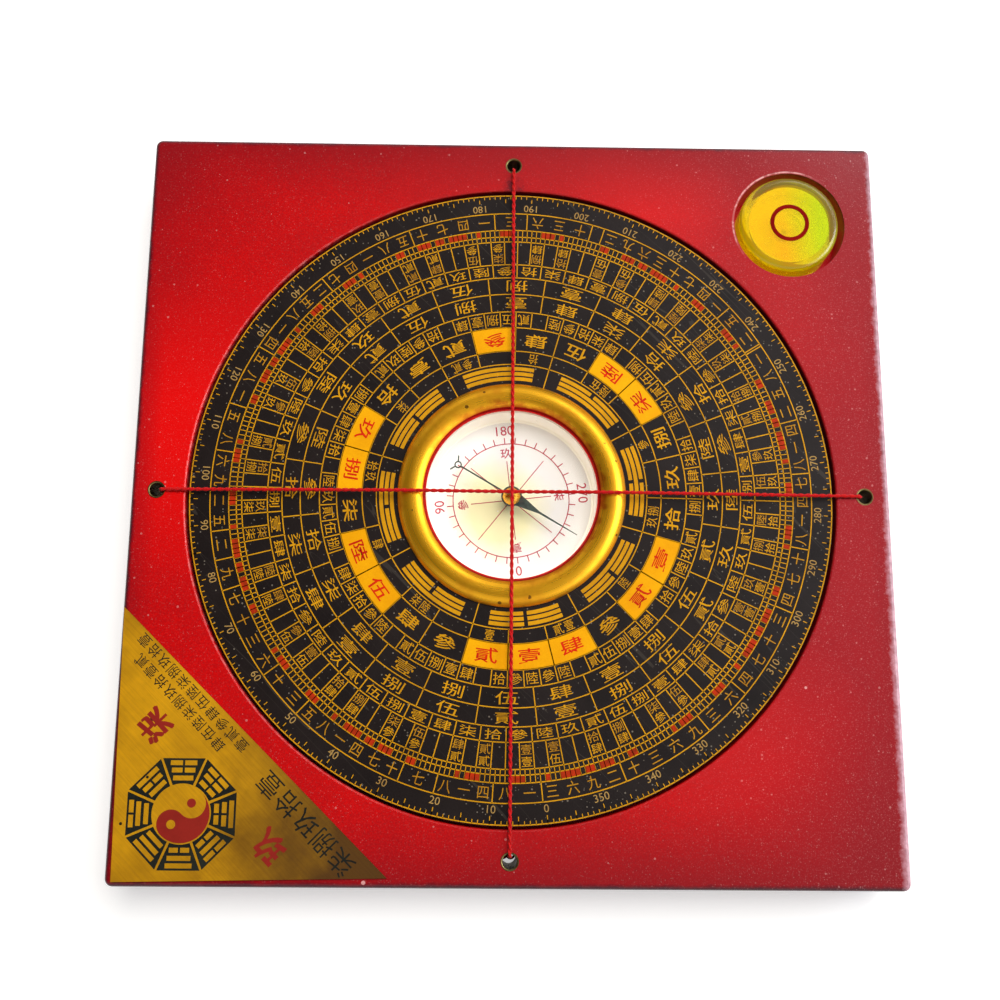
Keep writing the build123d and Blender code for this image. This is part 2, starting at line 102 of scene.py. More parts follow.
class CompassSizes(bpy.types.PropertyGroup):
    line_width: length("Width of the printed gold lines", 0.21)
    tick_width: length("Width of the degree marks", 0.15)
    ink_lift: length("Height of printed ink above what it is printed on", 0.03)
    ply_radius: length("Radius of each of the two plies of a thread", 0.23)
    ply_offset: length("How far each ply's centre is from the thread's own centre", 0.15)
    twist_pitch: length("Length of thread in which a ply goes once round", 2.8)
    dial_turn: FloatProperty(
        description="How far the dial stands turned, anticlockwise from above",
        default=radians(6.5), subtype="ANGLE",
    )


class CompassColours(bpy.types.PropertyGroup):
    lacquer: colour("Red lacquer on the board", 218, 2, 2)
    # Painted light: a brighter red where more light falls, most of it left of the dial.
    lacquer_bright: colour("Thinner, brighter lacquer, most of it left of the dial", 232, 3, 2)
    lacquer_deep: colour("Thicker, darker lacquer", 184, 2, 6)
    # Painted shade: the lacquer is darker toward the right, where less light falls.
    lacquer_right: colour("Duller lacquer toward the right", 144, 4, 20)
    lacquer_rim: colour("Duller lacquer, most of it toward the board's rims", 130, 6, 18)
    lacquer_edge: colour("Darkest lacquer, round the board's upper edge", 74, 6, 24)
    face: colour("Black of the dial's face", 22, 16, 15)
    gold_ink: colour("Printed lines and numerals of the dial", 226, 160, 18)
    gold_ink_worn: colour("Gold ink where it is thin", 178, 124, 18)
    red_ink: colour("Red numerals on the dial's gold cells", 226, 40, 10)
    brass: colour("Brass of the bezel", 255, 184, 32)
    brass_dark: colour("Brass of the bezel where it has dulled", 204, 96, 4)
    cup: colour("White plastic of the compass cup", 250, 247, 242)
    card: colour("Paper of the compass card", 254, 253, 250)
    # A pale yellow laid toward one side of the card's middle.
    card_aged: colour("Yellowed middle of the compass card", 255, 249, 196)
    card_ink: colour("Red printing of the compass card", 186, 20, 56)
    needle: colour("Blued steel of the needle", 92, 108, 98)
    thread: colour("Red thread", 214, 20, 22)
    liquid: colour("Dyed liquid of the level", 255, 251, 160)
    floor_warm: colour("Floor of the level on its warm side", 255, 196, 10)
    floor_green: colour("Floor of the level on its green side", 232, 244, 14)
    # Painted light and shade: the level's wall is yellow on its near, lit side and olive on its far, shaded
    # side.
    stain: colour("Wall of the level on its near side", 226, 206, 14)
    stain_olive: colour("Wall of the level on its far side", 140, 126, 34)
    mark: colour("Ring printed on the level", 140, 12, 10)
    plate: colour("Brushed brass of the corner plate", 250, 182, 22)
    plate_dark: colour("Corner plate where it has dulled", 146, 98, 12)
    plate_end: colour("Brown right end of the corner plate", 84, 52, 24)
    plate_black: colour("Black printing on the corner plate", 24, 26, 24)
    plate_red: colour("Red printing on the corner plate", 152, 40, 32)


class CompassStudio(bpy.types.PropertyGroup):
    floor_size: length("Side of the floor", 4000)
    key_power: power("Power of the large light at the right", 2.4)
    top_power: power("Power of the light at the far right", 0.9)
    room_power: power("Power of the soft light above", 5.9)
    surround: FloatProperty(description="Strength of the pale room around the object", default=0.08, min=0)


def sizes():
    return bpy.context.scene.compass_sizes


def colours():
    return bpy.context.scene.compass_colours


def studio():
    return bpy.context.scene.compass_studio


def select_only(piece):
    bpy.ops.object.select_all(action="DESELECT")
    piece.select_set(True)
    bpy.context.view_layer.objects.active = piece
    return piece


def smooth(piece, degrees=35):
    select_only(piece)
    bpy.ops.object.shade_smooth_by_angle(angle=radians(degrees))
    return piece


def piece_from(name, corners, edges=(), faces=()):
    """A new piece from its corners, and the edges or faces between them."""
    mesh = bpy.data.meshes.new(name)
    mesh.from_pydata(corners, edges, faces)
    piece = bpy.data.objects.new(name, mesh)
    bpy.context.scene.collection.objects.link(piece)
    return select_only(piece)


def edited(piece, *steps):
    """Runs mesh operators on all of a piece. A step is an operator and its settings."""
    select_only(piece)
    bpy.ops.object.mode_set(mode="EDIT")
    for operator, settings in steps:
        bpy.ops.mesh.select_all(action="SELECT")
        operator(**settings)
    bpy.ops.object.mode_set(mode="OBJECT")
    return piece


def face_up(piece):
    """Turns a flat piece's faces over where they look down."""
    if sum(polygon.normal.z * polygon.area for polygon in piece.data.polygons) < 0:
        edited(piece, (bpy.ops.mesh.flip_normals, {}))
    return piece


def spun(name, profile, steps=96, angle=tau, centre=(0.0, 0.0)):
    """A profile of (radius, height) points spun round an upright axis."""
    x, y = centre
    corners = [(x + radius, y, height) for radius, height in profile]
    piece = piece_from(name, corners, [(i, i + 1) for i in range(len(corners) - 1)])
    return edited(
        piece,
        (bpy.ops.mesh.spin, {"steps": steps, "angle": angle, "center": (x, y, 0), "axis": (0, 0, 1)}),
        (bpy.ops.mesh.remove_doubles, {"threshold": 0.001 * MM}),
        (bpy.ops.mesh.normals_make_consistent, {"inside": False}),
    )


def take_shape(piece):
    """The piece's mesh as a shape to copy. The piece itself goes."""
    shape = piece.data.copy()
    bpy.data.objects.remove(piece)
    return shape


def stamped(name, marks):
    """One piece of many copies. Marks are pairs of a shape and the matrix that places a copy of it."""
    corners = []
    faces = []
    for shape, place in marks:
        start = len(corners)
        corners += [place @ corner.co for corner in shape.vertices]
        faces += [[start + i for i in polygon.vertices] for polygon in shape.polygons]
    return face_up(piece_from(name, corners, (), faces))


def flat_band(outer, inner, span=tau):
    """A flat band round the origin, at height nought, with its middle on the near side."""
    steps = max(2, round(span / radians(2)))
    piece = face_up(spun("band", [(inner, 0), (outer, 0)], steps, span))
    corners = [corner.co for corner in piece.data.vertices]
    middle = sum(corners, Vector()) / len(corners)
    if span < tau:
        turn = Vector((1, 0)).angle_signed(middle.xy) - pi / 2
        piece.data.transform(Matrix.Rotation(turn, 4, "Z"))
    return take_shape(piece)


def flat_outline(points):
    """A flat shape with that outline."""
    piece = piece_from("outline", [(x, y, 0) for x, y in points], (), [range(len(points))])
    return take_shape(face_up(edited(piece, (bpy.ops.mesh.quads_convert_to_tris, {}))))


def unit_bar():
    """A flat square, one unit wide, to be stretched to a line."""
    bpy.ops.object.select_all(action="DESELECT")
    bpy.ops.mesh.primitive_plane_add(size=1)
    return take_shape(bpy.context.object)


def written(texts, resolution=3, square=False, weight=0.0):
    """Flat shapes of texts, by text, scaled together so that the set is one unit high, or one unit square."""
    pieces = {}
    for text in sorted(set(texts)):
        bpy.ops.object.select_all(action="DESELECT")
        bpy.ops.object.text_add()
        letters = bpy.context.object
        letters.data.body = text
        letters.data.align_x = "CENTER"
        letters.data.align_y = "CENTER"
        letters.data.resolution_u = resolution
        letters.data.offset = weight
        letters.data.fill_mode = "FRONT"
        bpy.ops.object.convert(target="MESH")
        pieces[text] = bpy.context.object
    corners = [corner.co for piece in pieces.values() for corner in piece.data.vertices]
    low = Vector((min(c.x for c in corners), min(c.y for c in corners), 0))
    high = Vector((max(c.x for c in corners), max(c.y for c in corners), 0))
    size = high - low
    fit = Matrix.Diagonal((1 / (size.x if square else size.y), 1 / size.y, 1, 1))
    shapes = {}
    for text, piece in pieces.items():
        piece.data.transform(fit @ Matrix.Translation(-(low + high) / 2))
        shapes[text] = take_shape(piece)
    return shapes


def round_dial(degrees, radius, width=1.0, height=1.0, upright=True, level=FACE_TOP):
    """Where a mark stands. Degrees run clockwise from the near side, and an upright mark's top is inward."""
    turn = sizes().dial_turn - radians(degrees)
    place = Matrix.Rotation(turn, 4, "Z") @ Matrix.Translation((0, -radius, level + sizes().ink_lift))
    if not upright:
        place = place @ Matrix.Rotation(pi, 4, "Z")
    return place @ Matrix.Diagonal((width, height, 1, 1))


def add(tree, kind, sockets=None, **settings):
    """A node with its settings. Sockets are wired where they are given a socket, and otherwise set."""
    node = tree.nodes.new("ShaderNode" + kind)
    for name, value in settings.items():
        setattr(node, name, value)
    for socket, value in (sockets or {}).items():
        value = getattr(value, "socket", value)
        if isinstance(value, bpy.types.NodeSocket):
            tree.links.new(value, node.inputs[socket])
        else:
            node.inputs[socket].default_value = value
    return node


class Value:
    """A number in a node tree. A sum with it adds a node for the sum."""

    def __init__(self, tree, socket):
        self.tree = tree
        self.socket = socket

    def maths(self, operation, *values):
        node = add(self.tree, "Math", dict(enumerate(values)), operation=operation)
        return Value(self.tree, node.outputs[0])

    def __add__(self, other):
        return self.maths("ADD", self, other)

    def __sub__(self, other):
        return self.maths("SUBTRACT", self, other)

    def __rsub__(self, other):
        return self.maths("SUBTRACT", other, self)

    def __mul__(self, other):
        return self.maths("MULTIPLY", self, other)

    def __abs__(self):
        return self.maths("ABSOLUTE", self)

    def below(self, limit):
        return self.maths("LESS_THAN", self, limit)

    def most(self, *others):
        """The largest of this value and others."""
        largest = self
        for other in others:
            largest = self.maths("MAXIMUM", largest, other)
        return largest

    def remap(self, low, high, to_low=0.0, to_high=1.0):
        """This value, stretched from one range to another and held inside it."""
        sockets = {0: self, 1: low, 2: high, 3: to_low, 4: to_high}
        return Value(self.tree, add(self.tree, "MapRange", sockets).outputs[0])

    def over(self, low, high, to_low=0.0, to_high=1.0):
        """As remap, with the first range in millimetres."""
        return self.remap(low * MM, high * MM, to_low, to_high)

    def spread(self, to_low, to_high):
        """As remap, with nought to one as the first range."""
        return self.remap(0.0, 1.0, to_low, to_high)


def parts_of(tree, vector, kind="SeparateXYZ"):
    return [Value(tree, part) for part in add(tree, kind, {0: vector}).outputs]


def flat_distance(x, y, centre=(0, 0)):
    """Distance from an upright axis through a centre."""
    offset = add(x.tree, "CombineXYZ", {0: x - centre[0], 1: y - centre[1]}).outputs[0]
    return Value(x.tree, add(x.tree, "VectorMath", {0: offset}, operation="LENGTH").outputs["Value"])


def noise(tree, place, scale, detail, roughness=0.5):
    sockets = {"Vector": place, "Scale": scale, "Detail": detail, "Roughness": roughness}
    return Value(tree, add(tree, "TexNoise", sockets).outputs[0])


def rays(tree, *kinds):
    """For each of these kinds of ray, whether a ray is of that kind."""
    path = add(tree, "LightPath").outputs
    return [Value(tree, path[f"Is {kind} Ray"]) for kind in kinds]


def new_effect(name, **inputs):
    """A shader node group with number inputs and one number output. Gives its tree, place and inputs."""
    tree = bpy.data.node_groups.new(name, "ShaderNodeTree")
    for label, value in inputs.items():
        socket = tree.interface.new_socket(label, in_out="INPUT", socket_type="NodeSocketFloat")
        socket.default_value = value
    tree.interface.new_socket("Value", in_out="OUTPUT", socket_type="NodeSocketFloat")
    given = tree.nodes.new("NodeGroupInput").outputs
    place = add(tree, "TexCoord").outputs["Object"]
    return tree, place, *[Value(tree, given[label]) for label in inputs]


def give_out(value):
    """Makes a value the output of its effect."""
    output = value.tree.nodes.new("NodeGroupOutput")
    value.tree.links.new(value.socket, output.inputs[0])


def make_specks():
    """Scattered specks of dust or small chips, where a random share of cells has one."""
    tree, place, scale, share, size = new_effect("Specks", Scale=600, Share=0.1, Size=0.4)
    cells = add(tree, "TexVoronoi", {"Vector": place, "Scale": scale}).outputs
    chance, reach, rest = parts_of(tree, cells["Color"], "SeparateColor")
    give_out(chance.below(share) * Value(tree, cells["Distance"]).below(reach * size))


def make_mottle():
    """Soft uneven patches."""
    tree, place, scale, low, high = new_effect("Mottle", Scale=60, Low=0.35, High=0.65)
    give_out(noise(tree, place, scale, 5, 0.6).remap(low, high))


def stretched(tree, place, angle, stretch):
    """A place turned by an angle and drawn out, so that a pattern runs along one direction."""
    turned = add(tree, "VectorRotate", {"Vector": place, "Angle": angle}, rotation_type="Z_AXIS")
    stretch = add(tree, "CombineXYZ", {0: stretch, 1: 1.0, 2: 1.0})
    sockets = {0: turned.outputs[0], 1: stretch.outputs[0]}
    return add(tree, "VectorMath", sockets, operation="MULTIPLY").outputs[0]


def make_grain():
    """Straight brushing, along a direction that is an angle from X."""
    inputs = {"Scale": 3000, "Angle": 0, "Stretch": 0.02}
    tree, place, scale, angle, stretch = new_effect("Brushed grain", **inputs)
    give_out(noise(tree, stretched(tree, place, angle, stretch), scale, 3, 0.7))


def make_turning():
    """Fine rings left by a lathe round the dial's axis."""
    tree, place, scale = new_effect("Turning marks", Scale=2500)
    x, y, z = parts_of(tree, place)
    point = add(tree, "CombineXYZ", {0: flat_distance(x, y), 1: z}).outputs[0]
    give_out(noise(tree, point, scale, 2, 0.6))


def make_scratches():
    """Thin stray scratches, mostly along one direction."""
    inputs = {"Scale": 220, "Angle": 0.6, "Stretch": 0.06, "Width": 0.004}
    tree, place, scale, angle, stretch, width = new_effect("Scratches", **inputs)
    lines = noise(tree, stretched(tree, place, angle, stretch), scale, 1)
    give_out(abs(lines - 0.5).below(width))


def make_effects():
    for make in (make_specks, make_mottle, make_grain, make_turning, make_scratches):
        make()


class Finish:
    """A material in the making: its tree, its shader, its colour so far and ways to add to them."""

    def __init__(self, name, colour, **constants):
        self.material = bpy.data.materials.new(name)
        self.material.use_nodes = True
        self.tree = self.material.node_tree
        self.shader = self.tree.nodes["Principled BSDF"]
        self.colour = colour
        self.keep(Base_Color=colour, **constants)

    def keep(self, **constants):
        """Sets plain values of the shader. Underscores stand for spaces."""
        for socket, value in constants.items():
            self.shader.inputs[socket.replace("_", " ")].default_value = value

    def wire(self, **outputs):
        """Wires values or colours to the shader. Underscores stand for spaces."""
        for socket, output in outputs.items():
            output = getattr(output, "socket", output)
            self.tree.links.new(output, self.shader.inputs[socket.replace("_", " ")])

    def place(self):
        """A point's x, y and z."""
        return parts_of(self.tree, add(self.tree, "TexCoord").outputs["Object"])

    def blend(self, mask, first, second, blend_type="MIX"):
        sockets = {0: mask, 6: first, 7: second}
        return add(self.tree, "Mix", sockets, data_type="RGBA", blend_type=blend_type).outputs[2]

    def cover(self, mask, colour, blend_type="MIX"):
        """Lays another colour over the colour so far."""
        self.colour = self.blend(mask, self.colour, colour, blend_type)
        self.wire(Base_Color=self.colour)

    def effect(self, name, **values):
        """An effect's output, with the effect given its own values."""
        node = self.tree.nodes.new("ShaderNodeGroup")
        node.node_tree = bpy.data.node_groups[name]
        for label, value in values.items():
            node.inputs[label].default_value = value
        return Value(self.tree, node.outputs[0])

    def mottle(self, scale, low, high):
        return self.effect("Mottle", Scale=scale, Low=low, High=high)

    def specks(self, scale, share, size):
        return self.effect("Specks", Scale=scale, Share=share, Size=size)

    def bump(self, height, strength, millimetres):
        sockets = {"Height": height, "Strength": strength, "Distance": millimetres * MM}
        normal = add(self.tree, "Bump", sockets).outputs[0]
        self.wire(Normal=normal, Coat_Normal=normal)

    def surface(self, node):
        """Shows another shader in place of the plain one."""
        self.tree.links.new(node.outputs[0], self.tree.nodes["Material Output"].inputs["Surface"])


def dress(node, finish):
    """Gives a CAD node its finish."""
    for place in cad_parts[node].material_slots:
        place.material = finish.material


def finish_piece(piece, name, finish, body, replaces=()):
    """Names a piece, gives it its finish and lets it ride on its body."""
    piece.name = name
    piece.data.name = name
    piece.data.materials.clear()
    piece.data.materials.append(finish.material)
    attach(piece, body)
    if replaces:
        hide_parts(*replaces)


def print_piece(name, marks, finish, body="dial"):
    """One printed piece of many marks, which rides on its body."""
    finish_piece(stamped(name, marks), name, finish, body)


def lacquer_finish():
    """Glossy red lacquer: uneven, duller toward the rims, with ripple, dust and chips; painted shade toward
    the right, painted light left of the dial, painted sheen toward the right, and painted highlights along
    the right edge and round the recess and the level's pocket.
    """
    finish = Finish("red_lacquer", colours().lacquer, Specular_IOR_Level=0.3, Coat_Roughness=0.12)
    mottle = finish.mottle
    cover = finish.cover
    x, y, z = finish.place()
    tone = mottle(26, 0.36, 0.68)
    fine = mottle(900, 0.35, 0.75)
    rightward = x.over(15, 66)
    past_side = abs(x) - BOARD_HALF
    past_end = abs(y) - BOARD_HALF
    past_edge = past_side.most(past_end)
    above_top = z - BOARD_TOP
    from_middle = flat_distance(x, y)
    past_pocket = flat_distance(x, y, LEVEL_POCKET) - LEVEL_POCKET_RADIUS

    cover(tone, colours().lacquer_deep)
    cover(fine * 0.3, colours().lacquer_deep)
    cover(mottle(2800, 0.4, 0.75) * 0.55, colours().lacquer_rim)
    # Painted shade: darker, duller red toward the right.
    cover(rightward * 0.75, colours().lacquer_right)
    # Painted light: brighter red left of the dial and in two spots, lower right and near the top.
    painted_light_mask = flat_distance(x, y, (-62 * MM, 12 * MM)).over(34, 6)
    for spot, size, most in (((44 * MM, -50 * MM), 26, 0.3), ((26 * MM, 62 * MM), 20, 0.4)):
        painted_light_mask = painted_light_mask.most(flat_distance(x, y, spot).over(size, 4, 0.0, most))
    cover(painted_light_mask, colours().lacquer_bright)
    outward = past_side.over(-5, 0, 0.0, 0.6).most(past_end.over(-15, -1, 0.0, 0.75))
    cover(outward.most(from_middle.over(72, 98, 0.0, 0.8)), colours().lacquer_rim)
    # Painted shade: the level pocket's wall is a darker crimson than the lacquer round it, as it looks in its
    # shade.
    cover(past_pocket.over(0.3, 0.1) * above_top.over(-0.3, -1), rgb(186, 6, 30))
    below = above_top.over(-0.3, -1.6) * past_edge.over(-1.5, -1)
    cover(below, rgb(112, 5, 20))
    border = (past_edge + mottle(300, 0.3, 0.7) * (0.5 * MM)).over(-0.9, -0.1)
    cover(border * above_top.over(-3, -1.8), colours().lacquer_edge)
    # A darker patch on the recess's far rim, where the north thread crosses it.
    far_rim_dark_patch = flat_distance(x, y, (0, RECESS_RADIUS + 1 * MM)).over(2.4, 1.2)
    cover(far_rim_dark_patch * fine.remap(0.2, 0.6, 0.2, 0.8), colours().lacquer_edge)

    dust = finish.specks(2900, 0.3, 0.36)
    # Painted sheen: the dust and a fine haze grow toward the right, where the lacquer reflects the window.
    dust_and_sheen = dust * rightward.spread(0.1, 0.24)
    coarse = finish.specks(1300, 0.05, 0.3) * 0.3
    painted_sheen_haze = mottle(3800, 0.55, 0.85) * rightward.spread(0.12, 0.3)
    chips = finish.specks(420, 0.008, 0.16) * 0.8
    # Painted highlights: thin broken pale lines round the left of the recess's rim and the upper left of the
    # level pocket's rim.
    recess_rim_highlight = abs(from_middle - (RECESS_RADIUS - 0.1 * MM)).over(0.22, 0.08)
    recess_rim_highlight = recess_rim_highlight * x.over(-15, -40) * fine.remap(0.2, 0.7, 0.0, 0.25)
    beside = y - x - (LEVEL_CENTRE.y - LEVEL_CENTRE.x)
    pocket_rim_highlight = abs(past_pocket - 0.3 * MM).over(0.24, 0.08) * beside.over(1, 11, 0.0, 0.9)
    pocket_rim_highlight = pocket_rim_highlight * fine.remap(0.2, 0.55, 0.25, 1.0)
    # Real chips and dust, together with painted sheen and painted rim highlights, all in pale pink.
    cover(chips.most(recess_rim_highlight, pocket_rim_highlight, dust_and_sheen, coarse, painted_sheen_haze), rgb(236, 176, 172))
    # Painted highlight: a pale pink band along the right edge's rounding, where it reflects the window.
    worn = x - BOARD_HALF + fine * (0.9 * MM) + y.over(60, -60, 0.0, 0.5 * MM)
    cover(worn.over(-1, 0.6, 0.0, 0.85) * above_top.over(-1.4, -0.7), rgb(232, 180, 194))

    rough = tone.spread(0.36, 0.48).most(dust * 0.9, below * 0.75)
    finish.wire(Roughness=rough, Coat_Weight=below.spread(0.4, 0.0))
    finish.bump(mottle(140, 0.0, 1.0) * 0.6 + mottle(1300, 0.0, 1.0) * 0.2 + dust * 0.2, 0.5, 0.12)
    return finish


def face_finish():
    """Satin black of the dial's face, with dust and light scratches."""
    finish = Finish("dial_black", colours().face, Specular_IOR_Level=0.3)
    cloud = finish.mottle(70, 0.3, 0.75)
    dust = finish.specks(2000, 0.18, 0.36)
    scratch = finish.effect("Scratches", Scale=260, Angle=0.8, Stretch=0.05, Width=0.002)
    finish.cover(cloud, rgb(32, 24, 22))
    finish.cover((dust * 0.3).most(scratch * 0.04), rgb(190, 178, 160))
    finish.wire(Roughness=cloud.spread(0.36, 0.48))
    finish.bump(finish.mottle(1600, 0.2, 0.8), 0.25, 0.02)
    return finish


def ink_finish(name, full, worn, roughness=0.5, patch=160):
    """Printed ink, thicker and thinner in patches, with pinholes."""
    finish = Finish(name, full, Specular_IOR_Level=0.2)
    grain = finish.mottle(2600, 0.35, 0.8)
    finish.cover(finish.mottle(patch, 0.42, 0.8), worn)
    finish.cover(grain * 0.4, worn)
    finish.wire(Roughness=grain.spread(roughness - 0.08, roughness + 0.12))
    finish.bump(grain, 0.2, 0.01)
    return finish


def bezel_finish():
    """Satin brass with turning marks, brown residue round its inner rim, tarnish in patches, and pits."""
    finish = Finish("bezel_brass", colours().brass, Metallic=0.78)
    x, y, z = finish.place()
    past_rim = flat_distance(x, y) - BEZEL_INNER
    patch = finish.mottle(150, 0.5, 0.75)
    pits = finish.specks(900, 0.05, 0.35)
    rings = finish.effect("Turning marks", Scale=5200)
    finish.cover(((z - FACE_TOP).over(0.9, 0.1) * 0.6).most(patch * 0.6), colours().brass_dark)
    residue = (past_rim - finish.mottle(420, 0.4, 0.7) * (1.3 * MM)).over(0.8, -0.1)
    finish.cover(residue * (x + y * 0.6).over(-8, 10, 0.25, 0.75), rgb(196, 76, 10))
    finish.cover(past_rim.over(0.3, 0.15), rgb(176, 14, 8))
    finish.cover(pits * 0.8, rgb(90, 46, 14))
    finish.wire(Roughness=(rings + patch).remap(0.3, 1.6, 0.26, 0.46))
    finish.bump(rings - pits, 0.25, 0.02)
    return finish


def metal_finish(name, tone, dark, roughness, scale=900, metallic=1.0, angle=0.0):
    """A small metal part: brushed, uneven and a little dulled."""
    finish = Finish(name, tone, Metallic=metallic)
    grain = finish.effect("Brushed grain", Scale=scale * 6, Angle=angle, Stretch=0.05)
    finish.cover(finish.mottle(scale, 0.4, 0.8), dark)
    finish.wire(Roughness=grain.remap(0.2, 0.8, roughness * 0.7, roughness * 1.4))
    finish.bump(grain, 0.2, 0.01)
    return finish


def plate_finish():
    """Brushed brass sheet, brushed along its long side, dulled in patches and toward its right end."""
    finish = Finish("plate_brass", colours().plate, Metallic=0.3)
    x, y, z = finish.place()
    grain = finish.effect("Brushed grain", Scale=2600, Angle=radians(45), Stretch=0.03)
    patch = finish.mottle(48, 0.35, 0.7)
    uneven = patch * (8 * MM)
    finish.cover(patch * 0.85, colours().plate_dark)
    finish.cover((x + uneven).over(-50, -31, 0.0, 0.95), colours().plate_end)
    finish.cover((y + uneven).over(-38, -20, 0.0, 0.45), colours().plate_dark)
    finish.cover(grain.remap(0.4, 0.7, 0.0, 0.25), colours().plate_dark, "MULTIPLY")
    finish.cover((z - PLATE_HIGH.z).over(-0.05, -0.25), rgb(60, 40, 20))
    finish.cover(finish.specks(700, 0.02, 0.3), rgb(40, 36, 20))
    finish.wire(Roughness=grain.remap(0.3, 0.7, 0.3, 0.5))
    finish.bump(grain, 0.35, 0.015)
    return finish


def plastic_finish(name, tone, other, roughness=0.35, scale=200, gloss=0.5):
    """Moulded plastic or paint with a little cloudiness and dust."""
    finish = Finish(name, tone, Specular_IOR_Level=gloss)
    cloud = finish.mottle(scale, 0.35, 0.75)
    finish.cover(cloud, other)
    finish.cover(finish.specks(1700, 0.03, 0.3) * 0.35, rgb(150, 140, 130))
    finish.wire(Roughness=cloud.spread(roughness, roughness + 0.1))
    finish.bump(finish.mottle(2200, 0.2, 0.8), 0.15, 0.01)
    return finish


def card_finish():
    """White card, pale yellow unevenly toward one side of its middle."""
    finish = Finish("card_paper", colours().card, Roughness=0.9, Specular_IOR_Level=0.1)
    x, y, z = finish.place()
    near = flat_distance(x, y, (-2.5 * MM, -2 * MM)).over(4, 13, 1.0, 0.0)
    finish.cover((near - finish.mottle(90, 0.3, 0.7) * 0.35).remap(0.0, 0.7), colours().card_aged)
    finish.bump(finish.mottle(2600, 0.2, 0.8), 0.2, 0.01)
    return finish


def felt_finish():
    """Green felt: matted fibres."""
    finish = Finish("felt_green", rgb(28, 74, 48), Roughness=0.95, Sheen_Weight=0.3)
    fibres = finish.mottle(3200, 0.3, 0.7)
    finish.cover(fibres, rgb(52, 104, 70))
    finish.bump(fibres, 0.9, 0.08)
    return finish


def clear_finish(name, tint, ior, roughness=0.02, dust_share=0.02):
    """Clear glass or acrylic with faint dust. Lamps shine through it."""
    finish = Finish(name, tint, IOR=ior, Transmission_Weight=1.0)
    finish.wire(Roughness=finish.specks(1500, dust_share, 0.25) * 0.5 + roughness)
    shadow, diffuse = rays(finish.tree, "Shadow", "Diffuse")
    open_shader = add(finish.tree, "BsdfTransparent", {"Color": tint})
    sockets = {0: shadow.most(diffuse), 1: finish.shader.outputs[0], 2: open_shader.outputs[0]}
    finish.surface(add(finish.tree, "MixShader", sockets))
    return finish


def vial_finish():
    """Clear acrylic, its roof yellow on the left and green on the right, the green partly painted shade. Its
    wall has painted light and shade, yellow on the near side and olive on the far side, and glows with
    painted light.
    """
    finish = clear_finish("vial_acrylic", rgb(252, 250, 220), 1.49, 0.03, 0.05)
    x, y, z = finish.place()
    cavity = LEVEL_HIGH.x - LEVEL_CENTRE.x
    wall = (flat_distance(x, y, LEVEL_CENTRE) - cavity).over(-0.1, 0.2)
    # Painted shade: olive toward the far side, where the pocket shades the wall, and green toward the right,
    # partly painted shade from the wall.
    olive = (x * 0.6 + y - (LEVEL_CENTRE.x * 0.6 + LEVEL_CENTRE.y)).over(-6, 5)
    green = (x - LEVEL_CENTRE.x).over(-1, 6)
    glow = finish.blend(olive, rgb(120, 136, 0), rgb(140, 130, 60))
    finish.colour = finish.blend(green, rgb(252, 220, 24), rgb(216, 234, 24))
    finish.cover(wall, finish.blend(olive, colours().stain, colours().stain_olive))
    # Painted light: the wall glows, though it is no lamp.
    finish.wire(Emission_Color=finish.blend(wall, (0, 0, 0, 1), glow))
    finish.keep(Transmission_Weight=0.76, Emission_Strength=0.28)
    return finish


def level_floor_finish():
    """The level's floor, which shows through the liquid: warm yellow on the left and green on the right, the
    green partly painted shade, with a painted glint arc, a painted shade spot and a painted glow.
    """
    finish = Finish("level_floor", colours().floor_warm, Roughness=0.9, Specular_IOR_Level=0.0)
    x, y, z = finish.place()
    x = x - LEVEL_CENTRE.x
    y = y - LEVEL_CENTRE.y
    rightward = x + y * 0.35
    glint = abs(flat_distance(x, y, (0.7 * MM, -0.7 * MM)) - 4.6 * MM).over(0.3, 0.1)
    shade = flat_distance(x, y, (-0.5 * MM, -0.9 * MM)).over(1.7, 0.3, 0.0, 0.7)
    finish.cover(finish.mottle(160, 0.35, 0.7), rgb(242, 222, 20))
    # Partly painted shade: green toward the right, where the wall shades the liquid.
    finish.cover(rightward.over(-1, 6.5), colours().floor_green)
    finish.cover(glint * rightward.over(1, 4, 0.0, 0.9), rgb(255, 255, 190))
    finish.cover(shade, rgb(120, 110, 20))
    # Painted light: the floor glows with its own colours, though it is no lamp.
    finish.wire(Emission_Color=finish.colour)
    finish.keep(Emission_Strength=0.22)
    return finish


def thread_finish():
    """Red silk thread: fibres along each ply and a soft sheen."""
    finish = Finish("thread_red", colours().thread, Roughness=0.6, Specular_IOR_Level=0.2, Sheen_Weight=0.1)
    fibres = finish.mottle(5200, 0.3, 0.7)
    finish.cover(finish.mottle(120, 0.35, 0.7), rgb(206, 18, 16))
    finish.cover(fibres * 0.35, rgb(130, 8, 10))
    finish.bump(fibres, 0.6, 0.05)
    return finish


class COMPASS_OT_board(bpy.types.Operator):
    """Lacquer the board and finish the felt and the fittings under the dial"""

    bl_idname = "compass.board"
    bl_label = "Board"

    def execute(self, context):
        steel = (rgb(176, 178, 180), rgb(120, 122, 126))
        brass = (rgb(214, 168, 76), rgb(150, 104, 40))
        dress("base_board", lacquer_finish())
        dress("dial_felt", felt_finish())
        dress("hub_bush", metal_finish("bush_brass", *brass, 0.3))
        dress("hub_washer", metal_finish("washer_steel", *steel, 0.34, angle=0.5))
        dress("hub_screw", metal_finish("screw_steel", *steel, 0.26, angle=1.1))
        return {"FINISHED"}


class COMPASS_OT_dial(bpy.types.Operator):
    """Finish the dial's disc and its black face"""

    bl_idname = "compass.dial"
    bl_label = "Dial"

    def execute(self, context):
        brown = (rgb(44, 34, 30), rgb(66, 50, 40))
        dress("dial_disc", plastic_finish("dial_core_board", *brown, 0.6, 500))
        dress("dial_plate", face_finish())
        return {"FINISHED"}


